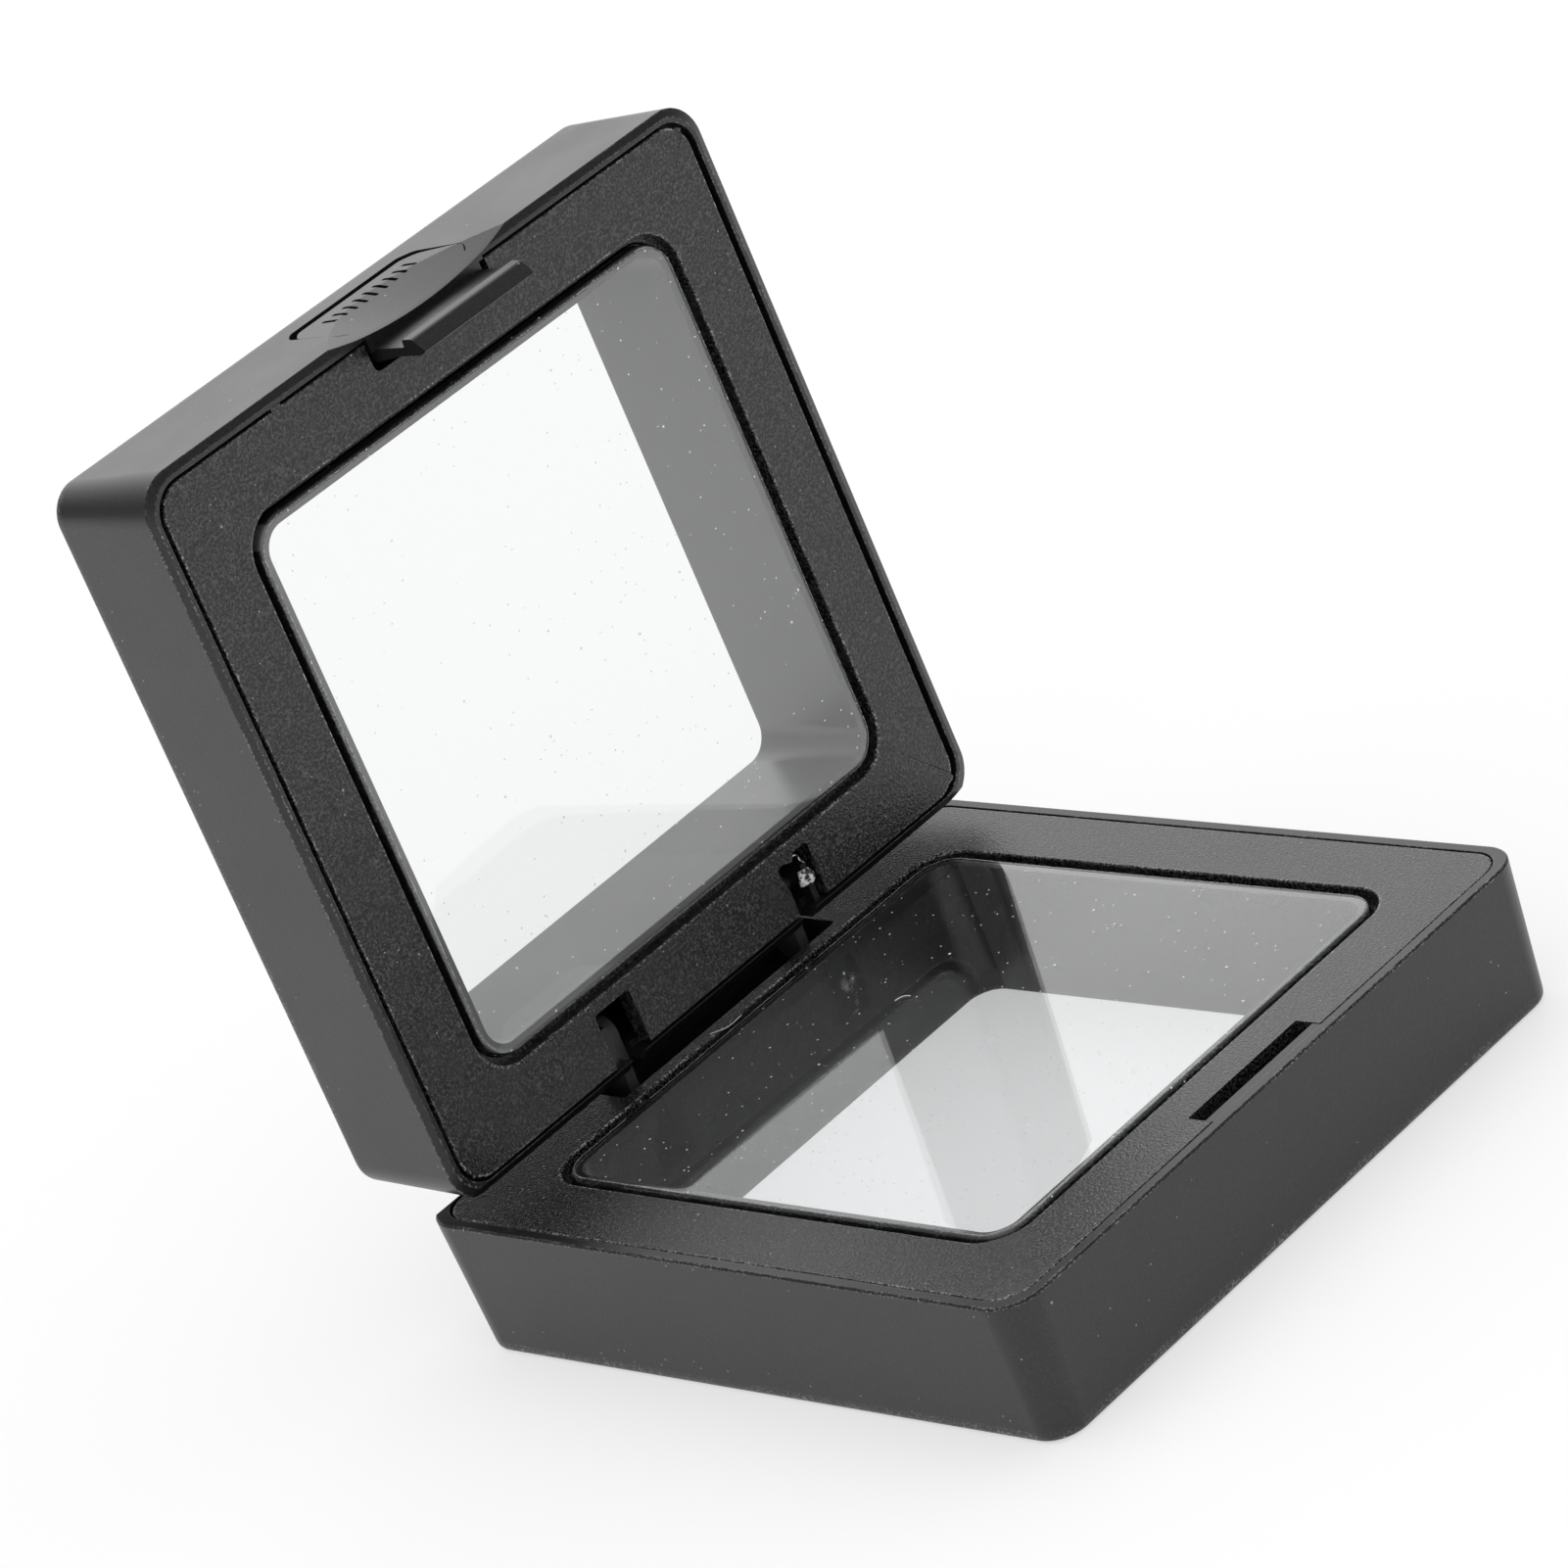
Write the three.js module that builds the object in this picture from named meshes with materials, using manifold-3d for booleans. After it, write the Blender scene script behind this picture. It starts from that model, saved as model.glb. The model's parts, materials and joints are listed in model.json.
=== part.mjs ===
// A small floating display box, standing open: two hollow square frames on a rear hinge, each with a clear film
// stretched across it, and a push latch in the lid. Millimetres, +Z up, front towards -Y.
import * as THREE from "three";
import { mergeVertices } from "three/addons/utils/BufferGeometryUtils.js";
import Module from "manifold-3d";

const wasm = await Module();
wasm.setup();

// The box as a whole
const boxWidth = 50;
const halfDepth = 9.7; // each half, from its parting face to its outer face
const closedGap = 0.36; // between the parting faces when the box is shut
const openAngle = THREE.MathUtils.degToRad(93.2);
const cornerRadius = 2.65;
const sideDraft = 0.6; // how far the side walls lean in over the depth
const outerEdgeRadius = 0.5;
const cornerSteps = 8;
const edgeSteps = 3;
const overrun = 0.5; // how far a cut reaches past the face it opens

// Outer shell: side wall, outer face, and the inner tube round the window
const wallThickness = 1.2;
const faceThickness = 1.2;
const rimWidth = 0.8;
const rimChamferWidth = 0.35;
const rimChamferHeight = 0.3;
const rimChamferCornerRadius = 2.5;
const rearRimFlat = 0.04; // flat left on the rear rim before its swing chamfer
const frameWidth = 7; // from the side of the box to the clear window, inside the tube
const tubeWall = 0.62;
const tubeDraft = 0.13;
const tubeCornerRadius = 1.7;
const tubeEdgeRadius = 0.25;

// Inner frame: the flat plate pressed into the rim, with a collar that grips the film
const plateThickness = 1.2;
const plateGroove = 0.2; // shadow line between the plate and the rim
const plateCornerRadius = 2;
const plateSeatGap = 0.1;
const plateWindowGap = 0.55; // from the film's edge to the plate
const collarRoot = 0.3; // where the collar overlaps the plate's thickness
const collarHeight = 1.9;
const collarWall = 0.6;
const collarGap = 0.1;

// Film, drawn over the end of the tube and down its outside
const filmThickness = 0.12;
const filmGap = 0.06;
const filmSkirt = 2.2;

// Hinge: two arms that stand in the base and carry one pin each
const pinHeightInLid = 2.784; // pin axis to the lid's parting face
const pinRadius = 0.6;
const pinGap = 0.1;
const pinLength = 3.8;
const pinTail = 0.3; // how far a pin shows on the inner side of its arm
const pinEndWall = 0.4; // wall left at the blind end of a pin's bore
const pinSteps = 12;
const armPlace = 7.9; // inner face of an arm, from the middle
const armThickness = 0.85;
const armHalfWidth = 1.2;
const armRimGap = 0.145;
const armStraight = 0.6; // straight part of an arm below the base's parting face, on its rear
const armFrontDrop = 1.1; // how much lower its front slope starts
const armSlope = 1.1;
const armFootGap = 0.15; // from the foot to the wall behind it
const collarClear = 1; // from the film collar to the feet and cheeks behind it
const armSeatGap = 0.1;
const socketHeight = 2;
const socketWall = 0.8;
const slotInnerClear = 0.8; // from an arm to the ends of its slot in the lid
const slotOuterClear = 1.55;
const lidSlotLand = 0.85; // plate left between the window and the hinge slots
const baseSlotLand = 1.05;
const stopGap = 0.1; // arm to the end of its notch, with the lid open
const armNotchGap = 0.2; // from an arm to the sides of its notch in the lid's rear wall
const lugGap = 0.75; // from an arm to the lug of the lid that its pin passes through
const lugThickness = 0.47;
const lugInset = 0.55; // from the lid's parting face to a lug
const lugReach = 1.35; // from the pin axis to the free edges of a lug
const lugRoot = 0.2; // where a lug overlaps the rim

// Latch: a dished tab in the lid's front wall with a hook that enters the base
const tabTopInset = 2.1; // from the inside of the outer face to the tab
const tabCorner = 0.8;
const tabTopHalf = 4.7;
const tabShoulderHalf = 5.55;
const tabFlare = 0.6;
const tabWaistHalf = 5.75;
const tabFootHalf = 5.15;
const tabRoot = 0.25; // where the tab overlaps the hook's blade
const tabSideGap = 0.12;
const tabTopGap = 0.5;
const scoopDepth = 0.86;
const scoopHalf = 8.1;
const scoopFlare = 2; // height over which the scoop narrows to the tab
const scoopFlareCurve = 1.25; // 1 would make the narrowing straight
const scoopSkim = 0.02;
const scoopSteps = 14;
const gripCount = 9;
const gripPitch = 0.9;
const gripWidth = 0.3;
const gripHeight = 1.4;
const gripDepth = 0.15;
const gripInset = 0.1; // from the shoulder of the tab to the grooves
const hookSideInset = 0.05;
const bladeGap = 0.25; // from the base's wall to the front of the blade, when shut
const bladeThickness = 0.95;
const waistThickness = 0.87;
const neckThickness = 0.65;
const lipWidth = 0.44; // how far the lip stands out from the blade
const lipUndercut = 0.11;
const tipSetback = 0.41;
const tipThickness = 0.24;
const waistReach = 0.6; // hook heights, outward from the lid's parting face
const neckReach = 2.47;
const lipReach = 3.06;
const lipEnd = 3.79;
const tipRearReach = 4.18;
const tipReach = 4.72;
const tongueLength = 1.5;
const tongueThickness = 0.6;
const tongueEndGap = 0.6;
const tongueGap = 0.15;
const tongueRibThickness = 0.8;
const tongueRibInset = 1.1; // from the side of the tongue to the side of its rib
const notchSideGap = 0.15;
const notchRoom = 0.45; // room behind the blade for the press
const catchThickness = 1.1;
const pocketHeight = 2.8;
const pocketSideGap = 0.4;
const pocketWall = 0.75;

// Derived places
const boxHalf = boxWidth / 2;
const grooveHalf = boxHalf - rimWidth;
const plateHalf = grooveHalf - plateGroove;
const grooveCornerRadius = plateCornerRadius + plateGroove;
const seatLevel = plateThickness + plateSeatGap;
const floorLevel = halfDepth - faceThickness;
const pinInset = rimWidth + armRimGap + armHalfWidth;
const pinY = boxHalf - pinInset;
const pinHeightAboveBase = pinHeightInLid + closedGap;
const tubeHalf = boxHalf - frameWidth;
const tubeOuterHalf = tubeHalf + tubeWall;
const tubeEdgeHalf = tubeOuterHalf - tubeEdgeRadius;
const tubeTop = filmThickness + filmGap;
const tubeEdgeCentre = tubeTop + tubeEdgeRadius;
const filmOuterRadius = tubeEdgeRadius + filmGap + filmThickness;
const filmInnerRadius = tubeEdgeRadius + filmGap;
const filmHalf = tubeEdgeHalf + filmOuterRadius;
const plateWindowHalf = filmHalf + plateWindowGap;
const collarHalf = filmHalf + collarGap;
const collarOuterHalf = collarHalf + collarWall;
const collarTop = plateThickness - collarRoot;
const slotInner = armPlace - slotInnerClear;
const slotOuter = armPlace + armThickness + slotOuterClear;
const pinEnd = armPlace - pinTail + pinLength;
const footFrontY = collarOuterHalf + collarClear;
const tabTop = floorLevel - tabTopInset;
const tabShoulder = tabTop - tabCorner;
const tabFoot = seatLevel + plateSeatGap;
const tabWaist = tabFoot + tabFlare;
const bladeFront = wallThickness + bladeGap; // blade faces, from the front wall
const bladeRear = bladeFront + bladeThickness;
const waistRear = bladeFront + waistThickness;
const hookHalf = tabFootHalf - hookSideInset;
const tongueTop = floorLevel - tongueEndGap;
const tongueShoulder = tongueTop - tongueLength;

// Inset of the side wall at a height above the parting face
const slopeHeight = halfDepth - outerEdgeRadius - rimChamferHeight;
const draftAt = (z) => (sideDraft * Math.max(0, z - rimChamferHeight)) / slopeHeight;

const footRearY = boxHalf - wallThickness - draftAt(floorLevel) - armFootGap;

// Faces of the latch's tongue, from the front wall
const tongueFront = wallThickness + draftAt(tongueTop) + tongueGap;
const tongueRear = tongueFront + tongueThickness;

// Corner radius of any outline that runs parallel to the window
const windowRadius = (half) => tubeCornerRadius + half - tubeHalf;

// A rounded square, anticlockwise seen from above
function roundedSquare([half, radius, z]) {
  const points = [];
  for (let corner = 0; corner < 4; corner++) {
    for (let step = 0; step <= cornerSteps; step++) {
      const turn = (Math.PI / 2) * (corner + step / cornerSteps);
      const middle = (Math.PI / 2) * (corner + 1 / 2);
      const reach = (half - radius) * Math.SQRT2;
      const x = reach * Math.cos(middle) + radius * Math.cos(turn);
      const y = reach * Math.sin(middle) + radius * Math.sin(turn);
      points.push(new THREE.Vector3(x, y, z));
    }
  }
  return points;
}

// A skin through rings of points that run up the outside, closed on itself or with flat ends
function skin(rings, closed) {
  const count = rings[0].length;
  const positions = rings.flat().flatMap((point) => point.toArray());
  const faces = [];
  const spans = closed ? rings.length : rings.length - 1;
  for (let ring = 0; ring < spans; ring++) {
    const low = ring * count;
    const high = ((ring + 1) % rings.length) * count;
    for (let i = 0; i < count; i++) {
      const j = (i + 1) % count;
      faces.push(low + i, low + j, high + j, low + i, high + j, high + i);
    }
  }
  if (!closed) {
    const last = (rings.length - 1) * count;
    const flat = (ring) => ring.map((point) => new THREE.Vector2(point.x, point.y));
    THREE.ShapeUtils.triangulateShape(flat(rings[0]), []).forEach(([a, b, c]) => faces.push(c, b, a));
    THREE.ShapeUtils.triangulateShape(flat(rings.at(-1)), []).forEach(([a, b, c]) => {
      faces.push(last + a, last + b, last + c);
    });
  }
  const geometry = new THREE.BufferGeometry();
  geometry.setAttribute("position", new THREE.Float32BufferAttribute(positions, 3));
  geometry.setIndex(faces);
  return solid(geometry);
}

// A geometry as a solid that can be joined and cut
function solid(geometry) {
  const bare = geometry.clone();
  bare.deleteAttribute("normal");
  bare.deleteAttribute("uv");
  const merged = mergeVertices(bare);
  return new wasm.Manifold(
    new wasm.Mesh({
      numProp: 3,
      vertProperties: new Float32Array(merged.attributes.position.array),
      triVerts: new Uint32Array(merged.index.array),
    }),
  );
}

const frameRing = (section) => skin(section.map(roundedSquare), true);
const cappedRings = (section) => skin(section.map(roundedSquare), false);

// A box between two corners
function block(low, high) {
  const size = high.map((value, axis) => value - low[axis]);
  const middle = high.map((value, axis) => (value + low[axis]) / 2);
  return solid(new THREE.BoxGeometry(...size).translate(...middle));
}

// A (y, z) outline drawn out along x
function prismAlongX(points, left, right) {
  const shape = points instanceof THREE.Shape ? points : outlineShape(points);
  const geometry = new THREE.ExtrudeGeometry(shape, { depth: right - left, bevelEnabled: false });
  const basis = new THREE.Matrix4().makeBasis(
    new THREE.Vector3(0, 1, 0),
    new THREE.Vector3(0, 0, 1),
    new THREE.Vector3(1, 0, 0),
  );
  return solid(geometry.applyMatrix4(basis).translate(left, 0, 0));
}

// An (x, z) outline drawn out along y
function prismAlongY(points, front, rear) {
  const options = { depth: rear - front, bevelEnabled: false };
  const geometry = new THREE.ExtrudeGeometry(outlineShape(points), options);
  return solid(geometry.rotateX(Math.PI / 2).translate(0, rear, 0));
}

const outlineShape = (points) => new THREE.Shape(points.map(([u, v]) => new THREE.Vector2(u, v)));

// Points of a quarter round, from one angle to another, as [u, v]
function arc(u, v, radius, from, to, steps = edgeSteps) {
  return Array.from({ length: steps + 1 }, (_, i) => {
    const angle = from + ((to - from) * i) / steps;
    return [u + radius * Math.cos(angle), v + radius * Math.sin(angle)];
  });
}

// The outside of a half: side walls with draft, rim chamfer and rounded outer edge
function outerProfile() {
  const edgeHalf = boxHalf - sideDraft - outerEdgeRadius;
  const edgeRound = arc(edgeHalf, halfDepth - outerEdgeRadius, outerEdgeRadius, 0, Math.PI / 2);
  return [
    [boxHalf, cornerRadius, rimChamferHeight],
    ...edgeRound.map(([half, z]) => [half, cornerRadius - boxHalf + sideDraft + half, z]),
  ];
}

// The hollow shell of a half, parting face at z = 0 and outer face up
function plainShell() {
  const tubeEdge = arc(tubeEdgeHalf, tubeEdgeCentre, tubeEdgeRadius, -Math.PI / 2, 0);
  const section = [
    ...outerProfile(),
    [tubeHalf + tubeDraft, windowRadius(tubeHalf + tubeDraft), halfDepth],
    [tubeHalf, tubeCornerRadius, tubeTop],
    ...tubeEdge.map(([half, z]) => [half, windowRadius(half), z]),
    [tubeOuterHalf + tubeDraft, windowRadius(tubeOuterHalf + tubeDraft), floorLevel],
    [boxHalf - wallThickness - draftAt(floorLevel), plateCornerRadius, floorLevel],
    [boxHalf - wallThickness - draftAt(seatLevel), plateCornerRadius, seatLevel],
    [grooveHalf, grooveCornerRadius, seatLevel],
    [grooveHalf, grooveCornerRadius, 0],
    [boxHalf - rimChamferWidth, rimChamferCornerRadius, 0],
  ];
  const start = grooveHalf + rearRimFlat;
  const far = boxHalf + overrun;
  const swingChamfer = prismAlongX([[start - overrun, -overrun], [far, -overrun], [far, far - start]], -far, far);
  return frameRing(section).subtract(swingChamfer);
}

// The plate that closes the hollow of a half, with its film collar
function plainPlate() {
  return frameRing([
    [plateHalf, plateCornerRadius, 0],
    [plateHalf, plateCornerRadius, plateThickness],
    [collarOuterHalf, windowRadius(collarOuterHalf), plateThickness],
    [collarOuterHalf, windowRadius(collarOuterHalf), collarTop + collarHeight],
    [collarHalf, windowRadius(collarHalf), collarTop + collarHeight],
    [collarHalf, windowRadius(collarHalf), collarTop],
    [plateWindowHalf, windowRadius(plateWindowHalf), collarTop],
    [plateWindowHalf, windowRadius(plateWindowHalf), 0],
  ]);
}

// The film, drawn over the tube's end like a drum skin
function film() {
  const round = (radius, from, to) =>
    arc(tubeEdgeHalf, tubeEdgeCentre, radius, from, to).map(([half, z]) => [half, windowRadius(half), z]);
  const skirtRing = (radius) => [tubeEdgeHalf + radius, windowRadius(tubeEdgeHalf + radius), filmSkirt];
  return cappedRings([
    ...round(filmOuterRadius, -Math.PI / 2, 0),
    skirtRing(filmOuterRadius),
    skirtRing(filmInnerRadius),
    ...round(filmInnerRadius, 0, -Math.PI / 2),
  ]);
}

// A pair of like solids, one on each side of the middle
const bothSides = (make) => make(1).add(make(-1));

// A box given for the right side, or mirrored to the left
function sideBlock(side, inner, outer, [frontY, lowZ], [rearY, highZ]) {
  const [left, right] = side > 0 ? [inner, outer] : [-outer, -inner];
  return block([left, frontY, lowZ], [right, rearY, highZ]);
}

// Outline of the tab in the front wall, or of its opening when grown
function tabOutline(sideGap, topGap, foot) {
  const right = [
    [tabFootHalf + sideGap, foot],
    [tabFootHalf + sideGap, tabFoot - sideGap],
    [tabWaistHalf + sideGap, tabWaist - sideGap],
    [tabShoulderHalf + sideGap, tabShoulder + topGap],
    [tabTopHalf + sideGap, tabTop + topGap],
  ];
  const left = right.map(([x, z]) => [-x, z]).reverse();
  return [...right, ...left];
}

// Depth of the finger scoop at its middle, which fades out towards the top of the tab
const dishDepth = (z) => scoopDepth * (1 - z / (tabTop + tabTopGap));

// Plain grip grooves across the upper part of the tab
function gripGrooves() {
  const top = tabShoulder - gripInset;
  const bottom = top - gripHeight;
  const level = (top + bottom) / 2;
  const floor = dishDepth(level) + gripDepth + draftAt(level) - boxHalf;
  const grooves = Array.from({ length: gripCount }, (_, i) => {
    const x = gripPitch * (i - (gripCount - 1) / 2);
    return block([x - gripWidth / 2, -boxHalf - overrun, bottom], [x + gripWidth / 2, floor, top]);
  });
  return grooves.reduce((all, groove) => all.add(groove));
}

// The finger scoop, an elliptic dish across the tab and the wall beside it
function scoop() {
  const levels = [-overrun, 0];
  for (let step = 1; step <= edgeSteps; step++) levels.push((scoopFlare * step) / edgeSteps);
  levels.push(tabShoulder, tabTop + tabTopGap);
  const rings = levels.map((z) => {
    const level = Math.max(z, 0);
    const flare = Math.max(0, 1 - level / scoopFlare) ** scoopFlareCurve;
    const half = tabWaistHalf + (scoopHalf - tabWaistHalf) * flare;
    const depth = dishDepth(level);
    const wall = boxHalf - draftAt(level) + scoopSkim;
    const dish = Array.from({ length: scoopSteps + 1 }, (_, i) => {
      const turn = (Math.PI * i) / scoopSteps;
      return new THREE.Vector3(half * Math.cos(turn), depth * Math.sin(turn) - wall, z);
    });
    const outside = -boxHalf - overrun;
    return [new THREE.Vector3(-half, outside, z), new THREE.Vector3(half, outside, z), ...dish];
  });
  return skin(rings, false);
}

// Top of the notches in the lid's rear wall, where the arm's rear face lies when the lid is open
function notchEnd() {
  const lean = openAngle - Math.PI / 2;
  return pinHeightInLid + armHalfWidth / Math.cos(lean) + pinInset * Math.tan(lean) + stopGap;
}

function lidShell() {
  const far = boxHalf + overrun;
  const wallInside = boxHalf - wallThickness - plateSeatGap;
  const notchInner = armPlace - armNotchGap;
  const notchOuter = armPlace + armThickness + armNotchGap;
  const notches = bothSides((side) =>
    sideBlock(side, notchInner, notchOuter, [wallInside - overrun, -overrun], [far, notchEnd()]),
  );
  const boreEnd = pinEnd + pinGap;
  const cheekRear = [boxHalf - wallThickness, floorLevel + overrun];
  const cheeks = bothSides((side) =>
    sideBlock(side, slotOuter, boreEnd + pinEndWall, [footFrontY, seatLevel], cheekRear),
  );
  const lugInner = armPlace + armThickness + lugGap;
  const lugRear = [grooveHalf + lugRoot, pinHeightInLid + lugReach];
  const lugs = bothSides((side) =>
    sideBlock(side, lugInner, lugInner + lugThickness, [pinY - lugReach, lugInset], lugRear),
  );
  const bores = bothSides((side) =>
    pinAt(side, lugInner - overrun, boreEnd, pinRadius + pinGap, pinHeightInLid),
  );
  const ribFront = tongueRear + tongueGap - boxHalf;
  const ribHalf = hookHalf - tongueRibInset;
  const rib = block(
    [-ribHalf, ribFront, tongueShoulder + tongueGap],
    [ribHalf, ribFront + tongueRibThickness, floorLevel + overrun],
  );
  const opening = prismAlongY(tabOutline(tabSideGap, tabTopGap, -overrun), -far, bladeRear - boxHalf);
  const carried = plainShell().add(cheeks).add(lugs).add(rib);
  return carried.subtract(notches).subtract(bores).subtract(opening).subtract(scoop());
}

function baseShell() {
  const pocketTop = seatLevel + catchThickness;
  const pocketHalf = hookHalf + pocketSideGap;
  const pocket = block(
    [-pocketHalf, pocketWall - boxHalf, pocketTop],
    [pocketHalf, bladeRear - boxHalf, pocketTop + pocketHeight],
  );
  const inner = armPlace - armSeatGap;
  const outer = armPlace + armThickness + armSeatGap;
  const seatFront = footFrontY - armSeatGap;
  const socketTop = floorLevel - socketHeight;
  const socketRear = [boxHalf - wallThickness, floorLevel + overrun];
  const sockets = bothSides((side) =>
    sideBlock(side, inner - socketWall, outer + socketWall, [seatFront - socketWall, socketTop], socketRear),
  );
  const seatRear = [footRearY + armSeatGap, floorLevel];
  const seats = bothSides((side) =>
    sideBlock(side, inner, outer, [seatFront, socketTop - overrun], seatRear),
  );
  return plainShell().add(sockets).subtract(seats).subtract(pocket);
}

// The notch that the latch hook passes through, open to the plate's front edge
function latchNotch(blade) {
  const notchHalf = tabFootHalf + notchSideGap;
  return block(
    [-notchHalf, -boxHalf - overrun, -overrun],
    [notchHalf, blade + notchRoom - boxHalf, plateThickness + overrun],
  );
}

function lidPlate() {
  const rear = [boxHalf, collarTop + collarHeight + overrun];
  const slots = bothSides((side) =>
    sideBlock(side, slotInner, slotOuter, [plateWindowHalf + lidSlotLand, -overrun], rear),
  );
  return plainPlate().subtract(slots).subtract(latchNotch(bladeRear));
}

function basePlate() {
  const slot = block(
    [-slotOuter, plateWindowHalf + baseSlotLand, -overrun],
    [slotOuter, boxHalf, collarTop + collarHeight + overrun],
  );
  return plainPlate().subtract(slot).subtract(latchNotch(waistRear));
}

// A round bar on the hinge axis, on the right side or the left
function pinAt(side, inner, outer, radius, height) {
  const bar = new THREE.CylinderGeometry(radius, radius, outer - inner, pinSteps).rotateZ(Math.PI / 2);
  return solid(bar.translate((side * (inner + outer)) / 2, pinY, height));
}

// A hinge arm: a flat leaf with a round head and a foot that is set forward under the plate
function hingeArm(side) {
  const headRound = arc(pinY, pinHeightAboveBase, armHalfWidth, 0, Math.PI, pinSteps);
  const footLevel = armSeatGap - floorLevel;
  const shape = outlineShape([
    ...headRound,
    [pinY - armHalfWidth, -armStraight - armFrontDrop],
    [footFrontY, -armStraight - armFrontDrop - armSlope],
    [footFrontY, footLevel],
    [footRearY, footLevel],
    [footRearY, -armStraight - armSlope],
    [pinY + armHalfWidth, -armStraight],
  ]);
  const bore = arc(pinY, pinHeightAboveBase, pinRadius + pinGap, 0, 2 * Math.PI, pinSteps).slice(1);
  shape.holes.push(new THREE.Path(bore.map(([y, z]) => new THREE.Vector2(y, z))));
  const left = side > 0 ? armPlace : -armPlace - armThickness;
  return prismAlongX(shape, left, left + armThickness);
}

const hingePin = (side) => pinAt(side, pinEnd - pinLength, pinEnd, pinRadius, pinHeightAboveBase);

// Latch: the tab is cut from the wall's own outside, and the hook and spring tongue are one profile behind it
function latchTab() {
  const outside = cappedRings([[boxHalf - rimChamferWidth, rimChamferCornerRadius, 0], ...outerProfile()]);
  const far = boxHalf + overrun;
  const tab = prismAlongY(tabOutline(0, 0, 0), -far, bladeFront + tabRoot - boxHalf).intersect(outside);
  const profile = [
    [bladeFront, tabFoot],
    [bladeFront, lipUndercut - lipReach],
    [bladeFront - lipWidth, -lipReach],
    [bladeFront - lipWidth, -lipEnd],
    [bladeFront + tipSetback, -tipReach],
    [bladeFront + tipSetback + tipThickness, -tipRearReach],
    [bladeFront + neckThickness, -neckReach],
    [waistRear, -waistReach],
    [bladeRear, 0],
    [bladeRear, tabShoulder],
    [tongueRear, tongueTop],
    [tongueFront, tongueTop],
    [tongueFront, tongueShoulder],
    [bladeFront, tongueShoulder],
  ];
  const hook = prismAlongX(profile.map(([inset, z]) => [inset - boxHalf, z]), -hookHalf, hookHalf);
  return tab.subtract(scoop()).subtract(gripGrooves()).add(hook);
}

// Finish of each kind of piece
const blackPlastic = { color: 0x26272a, roughness: 0.55, metalness: 0 };
const finishes = {
  shell: blackPlastic,
  plate: { ...blackPlastic, color: 0x202124, roughness: 0.7 },
  film: { color: 0xeef1f2, roughness: 0.05, metalness: 0, transparent: true, opacity: 0.25 },
  pin: { color: 0xb8bbbe, roughness: 0.3, metalness: 1 },
};

// A solid as a named mesh
function piece(name, shape, finish) {
  const mesh = shape.getMesh();
  const geometry = new THREE.BufferGeometry();
  geometry.setAttribute("position", new THREE.Float32BufferAttribute(mesh.vertProperties, 3));
  geometry.setIndex(Array.from(mesh.triVerts));
  geometry.computeVertexNormals();
  const result = new THREE.Mesh(geometry, new THREE.MeshStandardMaterial(finishes[finish]));
  result.name = name;
  return result;
}

// The base lies with its parting face up, so it is the same half turned over
const base = new THREE.Group();
base.add(
  piece("base_shell", baseShell(), "shell"),
  piece("base_inner_frame", basePlate(), "plate"),
  piece("base_film", film(), "film"),
);
base.rotation.y = Math.PI;

const hinge = new THREE.Group();
for (const [side, word] of [[-1, "left"], [1, "right"]]) {
  hinge.add(piece(`hinge_arm_${word}`, hingeArm(side), "shell"));
  hinge.add(piece(`hinge_pin_${word}`, hingePin(side), "pin"));
}

const lid = new THREE.Group();
lid.add(
  piece("lid_shell", lidShell(), "shell"),
  piece("lid_inner_frame", lidPlate(), "plate"),
  piece("lid_film", film(), "film"),
  piece("latch_tab", latchTab(), "shell"),
);
lid.position.set(0, -pinY, -pinHeightInLid);

const lidTurn = new THREE.Group();
lidTurn.add(lid);
lidTurn.position.set(0, pinY, pinHeightAboveBase);
lidTurn.rotation.x = -openAngle;

const box = new THREE.Group();
box.add(base, hinge, lidTurn);

// The box stands on its base, with the origin under the middle of the open box
const extent = new THREE.Box3().setFromObject(box, true);
box.position.set(0, -(extent.min.y + extent.max.y) / 2, -extent.min.z);

const group = new THREE.Group();
group.add(box);
export default group;
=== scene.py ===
"""Floating display box, standing open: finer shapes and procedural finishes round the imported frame."""

import json
import math

import bmesh
import bpy
import numpy as np
from mathutils import Matrix, Vector

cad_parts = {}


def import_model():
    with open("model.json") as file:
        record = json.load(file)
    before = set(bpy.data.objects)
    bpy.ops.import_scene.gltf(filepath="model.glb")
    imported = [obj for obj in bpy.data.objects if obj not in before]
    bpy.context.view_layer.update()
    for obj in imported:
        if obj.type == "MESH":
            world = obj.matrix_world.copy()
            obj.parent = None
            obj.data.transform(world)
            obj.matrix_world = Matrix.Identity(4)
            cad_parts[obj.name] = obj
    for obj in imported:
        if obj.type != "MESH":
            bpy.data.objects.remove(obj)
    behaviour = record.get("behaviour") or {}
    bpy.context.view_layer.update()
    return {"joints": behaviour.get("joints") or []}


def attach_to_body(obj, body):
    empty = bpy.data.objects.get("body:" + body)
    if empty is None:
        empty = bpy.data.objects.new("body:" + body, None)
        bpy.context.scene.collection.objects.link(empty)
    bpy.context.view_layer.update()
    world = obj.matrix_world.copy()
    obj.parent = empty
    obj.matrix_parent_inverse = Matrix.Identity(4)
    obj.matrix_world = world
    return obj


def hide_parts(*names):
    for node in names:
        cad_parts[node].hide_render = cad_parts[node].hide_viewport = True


MM = 0.001

# Camera, placed in metres and turned in degrees
CAMERA_PLACE = (-0.2553686, -0.3089713, 0.2038285)
CAMERA_TURN = (64.8467, 19.3299, -48.0548)
LENS = 168.296
SENSOR = 36
CLIP = (0.01, 10)

# Room: direction of its bright side, cosines between which it brightens, and both its levels in mirrors
BRIGHT_SIDE = (0.56, 0.76, 0.33)
BRIGHT_SPAN = (0.58, 0.99)
ROOM_LEVELS = (0.25, 1.44)

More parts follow.
